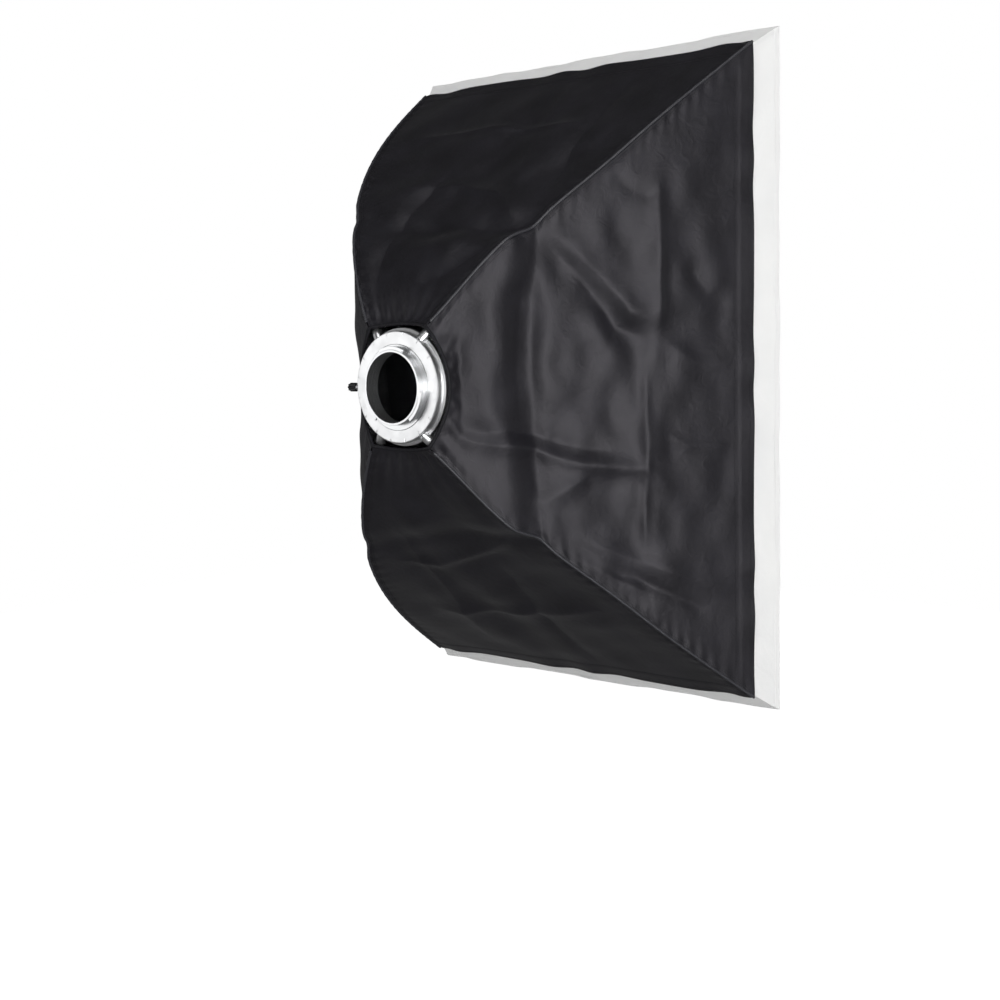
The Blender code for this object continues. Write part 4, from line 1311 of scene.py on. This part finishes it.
class SOFTBOX_OT_mounting_ring(bpy.types.Operator):
    """Finish the cast rod ring, its retaining ring and screws, and the turned bayonet insert"""

    bl_idname = "softbox.mounting_ring"
    bl_label = "Mounting ring"

    def execute(self, context):
        cast = finish("cast_aluminium_satin", cast_aluminium)
        turned = finish("turned_aluminium", turned_aluminium)
        steel = finish("zinc_plated_steel", plated_steel)
        dressed_copy("rod_ring", cast, "softbox", "rod_ring", ease=0.0005)
        dressed_copy("retaining_ring", turned, "softbox", "retaining_ring", ease=0.0003)
        dressed_copy("bayonet_insert", turned, "bayonet", "bayonet_insert", ease=0.0004)
        for number in range(1, 5):
            dressed_copy(f"retaining_screw_{number}", steel, "softbox", "screw_steel", ease=0.0002)
        return {"FINISHED"}


class SOFTBOX_OT_swivel_lock(bpy.types.Operator):
    """Finish the swivel lock: its steel screw and the lobed knob"""

    bl_idname = "softbox.swivel_lock"
    bl_label = "Swivel lock"

    def execute(self, context):
        steel = finish("zinc_plated_steel", plated_steel)
        plastic = finish("moulded_abs_black", moulded_abs)
        dressed_copy("lock_screw", steel, "lock", "screw_steel", ease=0.0003)
        dressed_copy("lock_knob", plastic, "lock", "black_plastic", ease=0.0005)
        return {"FINISHED"}


def cover_loop(columns):
    """Once round the cover's band, without a corner twice: each side's corner signs blended by share,
    that share, and the side's outward direction."""
    share = np.linspace(0.0, 1.0, columns, endpoint=False)
    signs = np.array(list(CORNERS.values()))
    after = np.roll(signs, -1, axis=0)
    blend = signs[:, None] * (1.0 - share[:, None]) + after[:, None] * share[:, None]
    out = np.repeat(np.array([out for _, _, out in PANELS.values()])[:, None], columns, axis=1)
    return blend.reshape(-1, 2), np.tile(share, len(signs)), out.reshape(-1, 3)


def rim_wave(turn, share):
    """How far the cover's rim strays from straight: a sine of the place round it, calm at the corners."""
    calm = smooth_step(np.minimum(share, 1.0 - share) / 0.08)
    return RIM_WAVE * calm * np.sin(turn / 6.1 + np.sin(turn / 3.3))


def edge_ripple(along, drift, inward):
    """Ripples that run in from an edge: a sine along it whose phase drifts, fading inwards."""
    wave = np.sin(along / 0.0062 + 1.8 * np.sin(along / drift))
    return wave * np.exp(-inward / 0.030) * smooth_step(inward / 0.010)


class SOFTBOX_OT_front_cover(bpy.types.Operator):
    """Make the white front cover: its flared band and its stretched face, with their stitches"""

    bl_idname = "softbox.front_cover"
    bl_label = "Front cover"

    def execute(self, context):
        size = context.scene.softbox_sizes
        look = finish("diffusion_nylon_white", diffusion_nylon)
        thread = finish("polyester_thread_white", white_thread)
        band = self.make_band(size, look)
        settle(band, "front_cover", "white_cloth", *(f"cover_band_{side}" for side in PANELS))
        face, runs, flat = self.make_face(size, look)
        settle(face, "front_cover", "white_cloth", "front_diffuser")
        sewn = settle(stitches_piece("cover_stitches", runs, size, thread), "front_cover", "white_cloth")
        return {"FINISHED"}

    def make_band(self, size, look):
        """The band's grid: rows run from inside the hem to the rim, and columns once round; it flares out
        from the hem to the rim and has shallow waves that fade at the corners."""
        signs, share, out = cover_loop(BAND_COLUMNS)
        columns = len(signs)
        s = np.linspace(0.0, 1.0, BAND_ROWS)[:, None]
        turn = np.arange(columns)[None]
        corner_near = np.minimum(share, 1.0 - share)[None]
        overlap = BAND_REACH + BAND_SIDE_REACH * smooth_step((corner_near - 0.04) / 0.06)
        inside = np.clip(s / BAND_TUCK, 0.0, 1.0)
        outside = np.clip((s - BAND_TUCK) / (1.0 - BAND_TUCK), 0.0, 1.0)
        depth = size.shell_depth - overlap * (1.0 - inside) + size.cover_depth * outside
        inset = BAND_INSET + BAND_TUCK_INSET * smooth_step(4.0 * (1.0 - inside))
        left_width, left_height = self.shell_at(size, "top_left", depth)
        right_width, right_height = self.shell_at(size, "top_right", depth)
        half_width = np.where(signs[:, 0] < 0.0, left_width, right_width) - inset
        half_width = half_width + (size.flare_side + BAND_INSET) * outside
        rightward = 0.5 + 0.5 * signs[:, 0]
        half_height = left_height * (1.0 - rightward) + right_height * rightward - inset
        half_height = half_height + (size.flare_top + BAND_INSET) * outside
        points = np.stack([signs[:, 0] * half_width, -depth, signs[:, 1] * half_height], -1)
        calm = smooth_step(corner_near / 0.06) * np.sin(np.pi * outside) ** 0.7
        waves = np.sin(turn / 3.1 + 2.0 * np.sin(turn / 7.7)) + 0.8 * np.sin(turn / 8.3 + 4.0 * s)
        waves = waves + 0.6 * np.sin(turn / 1.7 - 5.0 * s)
        stray = BAND_WAVE * waves * calm + rim_wave(turn, share) * outside
        points = points + out[None] * stray[..., None]
        inner = points - out[None] * size.cloth
        count = BAND_ROWS * columns
        wall = quads(BAND_ROWS, columns, wrap=True)
        loop = np.arange(columns)
        after = (loop + 1) % columns
        back_rim = np.stack([loop, after, after + count, loop + count], -1)
        last = (BAND_ROWS - 1) * columns
        front_rim = np.stack([last + after, last + loop, last + loop + count, last + after + count], -1)
        length = (size.front_width + size.front_height) * 2.0
        uv = np.stack(np.broadcast_arrays(s * BAND_CLOTH, turn / columns * length), -1).reshape(-1, 2)
        both = np.concatenate([points.reshape(-1, 3), inner.reshape(-1, 3)])
        faces = [wall, wall[:, ::-1] + count, back_rim, front_rim]
        return piece("cover_band", both, faces, [look], np.concatenate([uv, uv]))

    def shell_at(self, size, corner, depth):
        """Half-width and half-height of the shell's corner at each depth, up to the hem."""
        line = seam_line(size, corner, np.linspace(0.8, 1.0, 200))
        away = line @ FORWARD
        return np.interp(depth, away, np.abs(line[:, 0])), np.interp(depth, away, np.abs(line[:, 2]))

    def make_face(self, size, look):
        """The face's grid: a shallow crown with packing creases and ripples that run in from its edge,
        turned back over the band's rim all round."""
        half_width = 0.5 * size.front_width + size.flare_side
        half_height = 0.5 * size.front_height + size.flare_top
        x_share, lip_x = self.edge_shares(FACE_GRID[0], FACE_EDGE_X)
        z_share, lip_z = self.edge_shares(FACE_GRID[1], FACE_EDGE_Z)
        s, t = np.meshgrid(0.5 + 0.5 * x_share, 0.5 + 0.5 * z_share, indexing="ij")
        side = BAND_COLUMNS
        wave_x = np.where(s < 0.5, rim_wave(side * (3.0 + t), t), rim_wave(side * (2.0 - t), 1.0 - t))
        wave_z = np.where(t > 0.5, rim_wave(side * s, s), rim_wave(side * (3.0 - s), 1.0 - s))
        turned_back = np.maximum.outer(lip_x, lip_z)
        at_corner = np.minimum.outer(lip_x, lip_z) > 0.0
        follow = np.where(at_corner, CORNER_FOLLOW, 1.0)
        back_x = lip_x[:, None] * (1.0 - follow) + turned_back * follow
        back_z = lip_z[None] * (1.0 - follow) + turned_back * follow
        lean_x = (size.flare_side / size.cover_depth) * back_x
        lean_z = (size.flare_top / size.cover_depth) * back_z
        stand_off = size.cloth + FACE_STAND_OFF
        fade = np.exp(-(1.0 - np.maximum(np.abs(2.0 * s - 1.0), np.abs(2.0 * t - 1.0))) / 0.05)
        x = (2.0 * s - 1.0) * (half_width + stand_off + wave_x * fade - lean_x)
        z = (2.0 * t - 1.0) * (half_height + stand_off + wave_z * fade - lean_z)
        crown = 16.0 * s * (1.0 - s) * t * (1.0 - t)
        edge_x = np.minimum(s, 1.0 - s) * size.front_width
        edge_z = np.minimum(t, 1.0 - t) * size.front_height
        ripple = edge_ripple(z, 0.031, edge_x) + edge_ripple(x, 0.027, edge_z)
        folds = np.zeros(s.shape)
        for place in (0.25, 0.5, 0.75):
            folds = folds + np.exp(-np.abs(s - place) * size.front_width / FACE_FOLD_WIDTH)
            folds = folds - 0.8 * np.exp(-np.abs(t - place) * size.front_height / FACE_FOLD_WIDTH)
        slow = np.sin(x / 0.045 + 1.1 * np.sin(z / 0.09)) * np.sin(z / 0.061 + 0.7)
        calm = smooth_step(np.minimum(edge_x, edge_z) / 0.02)
        depth = size.shell_depth + size.cover_depth + FACE_RISE + FACE_CROWN * crown - turned_back
        depth = depth + FACE_RIPPLE * ripple + (FACE_FOLD * folds + FACE_SLOW_WAVE * slow) * calm
        points = np.stack([x, -depth, z], -1)
        uv = np.stack([x, z], -1)
        lipped = [np.sign(x) * (lip_x[:, None] > 0.0), np.zeros(x.shape), np.sign(z) * (lip_z > 0.0)]
        aside = np.stack(lipped, -1)
        facing = unit(FORWARD + aside * (3.0 * turned_back / FACE_LIP[0])[..., None])
        face = cloth_piece("cover_face", points, size.cloth, [look], uv, facing)
        up = np.linspace(0.012, 0.988, 400)
        across = np.linspace(0.014, 0.986, 300)
        inset_x = RIM_STITCHES / size.front_width
        inset_z = RIM_STITCHES / size.front_height
        places = [(np.full(up.shape, self.to_row(place, x_share)), up) for place in (inset_x, 1.0 - inset_x)]
        places += [
            (across, np.full(across.shape, self.to_row(place, z_share))) for place in (inset_z, 1.0 - inset_z)
        ]
        runs = stitch_runs(points, np.broadcast_to(FORWARD, points.shape), places)
        return face, runs, (2.0 * half_width + FACE_HEM, 2.0 * half_height + FACE_HEM)

    def edge_shares(self, count, start):
        """Places from -1 to 1 across the face, even between its lips, and how far each is turned back."""
        lip = len(FACE_LIP)
        middle = np.linspace(-start, start, count - 2 * lip)
        shares = np.concatenate([[-1.0] * lip, middle, [1.0] * lip])
        return shares, np.concatenate([FACE_LIP, np.zeros(len(middle)), FACE_LIP[::-1]])

    def to_row(self, place, shares):
        """The grid share at which the face's own coordinate has this place."""
        return np.interp(place, 0.5 + 0.5 * shares, np.linspace(0.0, 1.0, len(shares)))


class SOFTBOX_OT_closure_tapes(bpy.types.Operator):
    """Make the loop tapes in the shell's hem and the hook tapes on the cover's band"""

    bl_idname = "softbox.closure_tapes"
    bl_label = "Hook and loop tapes"

    def execute(self, context):
        size = context.scene.softbox_sizes
        hooks = finish("hook_tape_white", hook_rows)
        pile = finish("loop_tape_black", loop_pile)
        rows, columns = share_grid(*TAPE_GRID)
        tapes = (
            ("loop", "softbox", "black_trim", pile, TAPE_INSET),
            ("hook", "front_cover", "white_tape", hooks, TAPE_INSET + TAPE_THICKNESS + GAP),
        )
        for side in PANELS:
            u = TAPE_START + (TAPE_END - TAPE_START) * rows
            clear = TAPE_CORNER_CLEAR / (size.front_height if side in ("left", "right") else size.front_width)
            t = clear + columns * (1.0 - 2.0 * clear)
            form, wide = panel_grid(size, side, u, t, TAPE_MARGIN)
            normals = normals_of(form)
            uv = np.stack([rows * TAPE_WIDTH, columns * wide], -1)
            nap = TAPE_NAP * np.sin(columns * 900.0) * np.sin(rows * 40.0)
            for kind, body, slot, look, inset in tapes:
                face = form - normals * (inset + nap)[..., None]
                tape = cloth_piece(f"{kind}_tape_sewn_{side}", face, TAPE_THICKNESS * 0.9, [look], uv)
                settle(tape, body, slot, f"{kind}_tape_{side}")
        return {"FINISHED"}


class SOFTBOX_OT_inner_baffle(bpy.types.Operator):
    """Make the white inner baffle with its hem, and the elastic loops that tie it to the rods"""

    bl_idname = "softbox.inner_baffle"
    bl_label = "Inner baffle"

    def execute(self, context):
        size = context.scene.softbox_sizes
        look = finish("diffusion_nylon_white", diffusion_nylon)
        cord = finish("braided_elastic_white", braided_elastic)
        thread = finish("polyester_thread_white", white_thread)
        rods = {corner: self.rod_at_depth(size, corner) for corner in CORNERS}
        half_width = min(abs(rod[0][0]) for rod in rods.values()) - BAFFLE_MARGIN
        half_height = min(abs(rod[0][2]) for rod in rods.values()) - BAFFLE_MARGIN
        s, t = share_grid(*BAFFLE_GRID)
        pull_x = BAFFLE_PULL * 4.0 * t * (1.0 - t)
        pull_z = BAFFLE_PULL * 4.0 * s * (1.0 - s)
        x = (2.0 * s - 1.0) * (half_width - pull_x)
        z = (2.0 * t - 1.0) * (half_height - pull_z)
        crown = 16.0 * s * (1.0 - s) * t * (1.0 - t)
        ripple = np.zeros(s.shape)
        for sign_x, sign_z in CORNERS.values():
            dx = half_width - sign_x * x
            dz = half_height - sign_z * z
            ripple = ripple + np.sin(11.0 * np.arctan2(dz, dx)) * np.exp(-np.hypot(dx, dz) / 0.09)
        edge = 2.0 * np.minimum(np.minimum(s, 1.0 - s) * half_width, np.minimum(t, 1.0 - t) * half_height)
        hem = BAFFLE_HEM_STEP * smooth_step((BAFFLE_HEM - edge) / 0.002)
        rippled = BAFFLE_RIPPLE * ripple * smooth_step(edge / 0.02)
        depth = size.baffle_depth + BAFFLE_CROWN * crown + rippled + hem
        points = np.stack([x, -depth, z], -1)
        baffle = cloth_piece("baffle_sheet", points, size.cloth, [look], np.stack([x, z], -1))
        settle(baffle, "softbox", "white_cloth", "inner_baffle")
        line = np.linspace(0.03, 0.97, 260)
        inset_x = 0.5 * BAFFLE_STITCHES / half_width
        inset_z = 0.5 * BAFFLE_STITCHES / half_height
        places = [(np.full(line.shape, place), line) for place in (inset_x, 1.0 - inset_x)]
        places += [(line, np.full(line.shape, place)) for place in (inset_z, 1.0 - inset_z)]
        runs = stitch_runs(points, normals_of(points), places)
        sewn = settle(stitches_piece("baffle_stitches", runs, size, thread), "softbox", "white_cloth")
        half = (half_width, half_height)
        loops = [self.make_loop(size, corner, rods[corner], half, cord) for corner in CORNERS]
        return {"FINISHED"}

    def rod_at_depth(self, size, corner):
        """The point and direction of a rod at the baffle's depth, by interpolating along it."""
        u = np.linspace(0.0, ROD_END, 2000)
        place = np.interp(size.baffle_depth, rod_line(size, corner, u) @ FORWARD, u)
        return rod_line(size, corner, np.array([place]))[0], seam_tangent(size, corner, np.array([place]))[0]

    def make_loop(self, size, corner, rod, half, look):
        """One elastic loop: straight from the baffle's corner, then an arc of 240 degrees round the rod."""
        sign_x, sign_z = CORNERS[corner]
        spot, along = rod
        start = np.array([sign_x * half[0], -size.baffle_depth + 0.0005, sign_z * half[1]])
        reach = spot - start
        toward = unit(reach - along * (reach @ along))
        aside = np.cross(along, toward)
        ring = size.rod_radius + GAP + STRAP_RADIUS
        angle = np.radians(np.linspace(100.0, -140.0, 40))[:, None]
        bend = spot + toward * (ring * np.cos(angle)) + aside * (ring * np.sin(angle))
        root = start + unit(reach) * (STRAP_RADIUS + 2.0 * GAP)
        straight = root + (bend[0] - root) * np.linspace(0.0, 1.0, 14, endpoint=False)[:, None]
        path = np.concatenate([straight, bend])
        loop = tube_piece(f"elastic_loop_{corner}", path, along, STRAP_RADIUS, look, steps=12)
        return settle(loop, "softbox", "elastic", f"baffle_loop_{corner}")


class SOFTBOX_OT_stage(bpy.types.Operator):
    """Make the floor, the lamps, the white surround and the camera"""

    bl_idname = "softbox.stage"
    bl_label = "Stage"

    def execute(self, context):
        scene = context.scene
        line = np.linspace(-FLOOR_HALF, FLOOR_HALF, FLOOR_POINTS)
        x, y = np.meshgrid(line, line, indexing="ij")
        points = np.stack([x, y, np.full(x.shape, FLOOR_LEVEL)], -1).reshape(-1, 3)
        paint = finish("studio_floor_white", studio_floor)
        floor = piece("studio_floor", points, [quads(FLOOR_POINTS, FLOOR_POINTS)], [paint])
        for lamp in LAMPS:
            self.make_lamp(*lamp)
        self.make_world(scene)
        self.make_camera(scene)
        scene.view_settings.view_transform = "Standard"
        return {"FINISHED"}

    def make_lamp(self, name, place, target, wide, watts, mirrored, lighting):
        """An area lamp aimed at a target; one that isn't mirrored leaves no highlight, and one that isn't
        lighting leaves nothing else."""
        lamp = bpy.data.lights.new(name, "AREA")
        lamp.shape = "RECTANGLE"
        lamp.size, lamp.size_y = wide
        lamp.energy = watts
        holder = bpy.data.objects.new(name, lamp)
        bpy.context.scene.collection.objects.link(holder)
        holder.location = place
        holder.visible_glossy = mirrored
        holder.visible_diffuse = lighting
        aim = np.array(target) - np.array(place)
        flat = math.hypot(aim[0], aim[1])
        holder.rotation_euler = (math.atan2(flat, -aim[2]), 0.0, math.atan2(aim[1], aim[0]) - 0.5 * math.pi)

    def make_world(self, scene):
        """A white surround for the eye, which lights evenly; in reflections it fades towards the ceiling
        and the floor, and is dark at the sides of the front half."""
        world = bpy.data.worlds.new("white_studio")
        scene.world = world
        world.use_nodes = True
        tree = world.node_tree
        way = add(tree, "SeparateXYZ", {"Vector": add(tree, "TexCoord").outputs["Generated"]})
        steep = add(tree, "Math", {0: way.outputs["Z"]}, operation="ABSOLUTE")
        ceiling = add(
            tree, "MapRange",
            {
                "Value": steep.outputs["Value"], "From Min": 0.05, "From Max": 0.36,
                "To Min": 1.0, "To Max": 0.04,
            },
        )
        behind = add(
            tree, "MapRange",
            {"Value": way.outputs["Y"], "From Min": 0.12, "From Max": 0.45, "To Min": 0.12, "To Max": 1.0},
        )
        across = add(tree, "Math", {0: way.outputs["X"]}, operation="ABSOLUTE")
        ahead = add(tree, "MapRange", {"Value": across.outputs["Value"], "From Min": 0.92, "From Max": 0.60})
        around = add(
            tree, "Math", {0: behind.outputs["Result"], 1: ahead.outputs["Result"]}, operation="MAXIMUM"
        )
        shown = add(
            tree, "Math", {0: around.outputs["Value"], 1: ceiling.outputs["Result"]}, operation="MULTIPLY"
        )
        from_camera, mirrored = ray_kinds(tree)
        lit = add(tree, "MapRange", {"Value": mirrored, "To Min": 0.26, "To Max": shown.outputs["Value"]})
        white = add(tree, "Math", {0: lit.outputs["Result"], 1: from_camera}, operation="MAXIMUM")
        sky = tree.nodes["Background"]
        feed(tree, sky, {"Color": (1.0, 1.0, 1.0, 1.0), "Strength": white.outputs["Value"]})

    def make_camera(self, scene):
        """The camera at the photograph's viewing angle."""
        lens = bpy.data.cameras.new("photograph_view")
        lens.sensor_width = CAMERA_SENSOR_MM
        lens.lens = CAMERA_LENS_MM
        eye = bpy.data.objects.new("photograph_view", lens)
        scene.collection.objects.link(eye)
        eye.location = CAMERA_PLACE
        eye.rotation_euler = tuple(math.radians(turn) for turn in CAMERA_TURN_DEGREES)
        scene.camera = eye


class SOFTBOX_PT_panel(bpy.types.Panel):
    """Sidebar panel with the sizes, the colours and one button for each group of pieces"""

    bl_idname = "SOFTBOX_PT_panel"
    bl_label = "Studio softbox"
    bl_space_type = "VIEW_3D"
    bl_region_type = "UI"
    bl_category = "Softbox"

    def draw(self, context):
        for group in (context.scene.softbox_sizes, context.scene.softbox_colours):
            for name in group.__annotations__:
                self.layout.prop(group, name)
        for operator in OPERATORS:
            self.layout.operator(operator.bl_idname)


OPERATORS = (
    SOFTBOX_OT_stage,
    SOFTBOX_OT_shell_panels,
    SOFTBOX_OT_seams_and_hem,
    SOFTBOX_OT_rods,
    SOFTBOX_OT_mounting_ring,
    SOFTBOX_OT_swivel_lock,
    SOFTBOX_OT_front_cover,
    SOFTBOX_OT_closure_tapes,
    SOFTBOX_OT_inner_baffle,
)
CLASSES = (SoftboxSizes, SoftboxColours, *OPERATORS, SOFTBOX_PT_panel)


def register():
    for kind in CLASSES:
        bpy.utils.register_class(kind)
    bpy.types.Scene.softbox_sizes = bpy.props.PointerProperty(type=SoftboxSizes)
    bpy.types.Scene.softbox_colours = bpy.props.PointerProperty(type=SoftboxColours)


def unregister():
    del bpy.types.Scene.softbox_colours
    del bpy.types.Scene.softbox_sizes
    for kind in reversed(CLASSES):
        bpy.utils.unregister_class(kind)


def main():
    register()
    bpy.ops.softbox.stage()
    bpy.ops.softbox.shell_panels()
    bpy.ops.softbox.seams_and_hem()
    bpy.ops.softbox.rods()
    bpy.ops.softbox.mounting_ring()
    bpy.ops.softbox.swivel_lock()
    bpy.ops.softbox.front_cover()
    bpy.ops.softbox.closure_tapes()
    bpy.ops.softbox.inner_baffle()


if __name__ == "__main__":
    main()
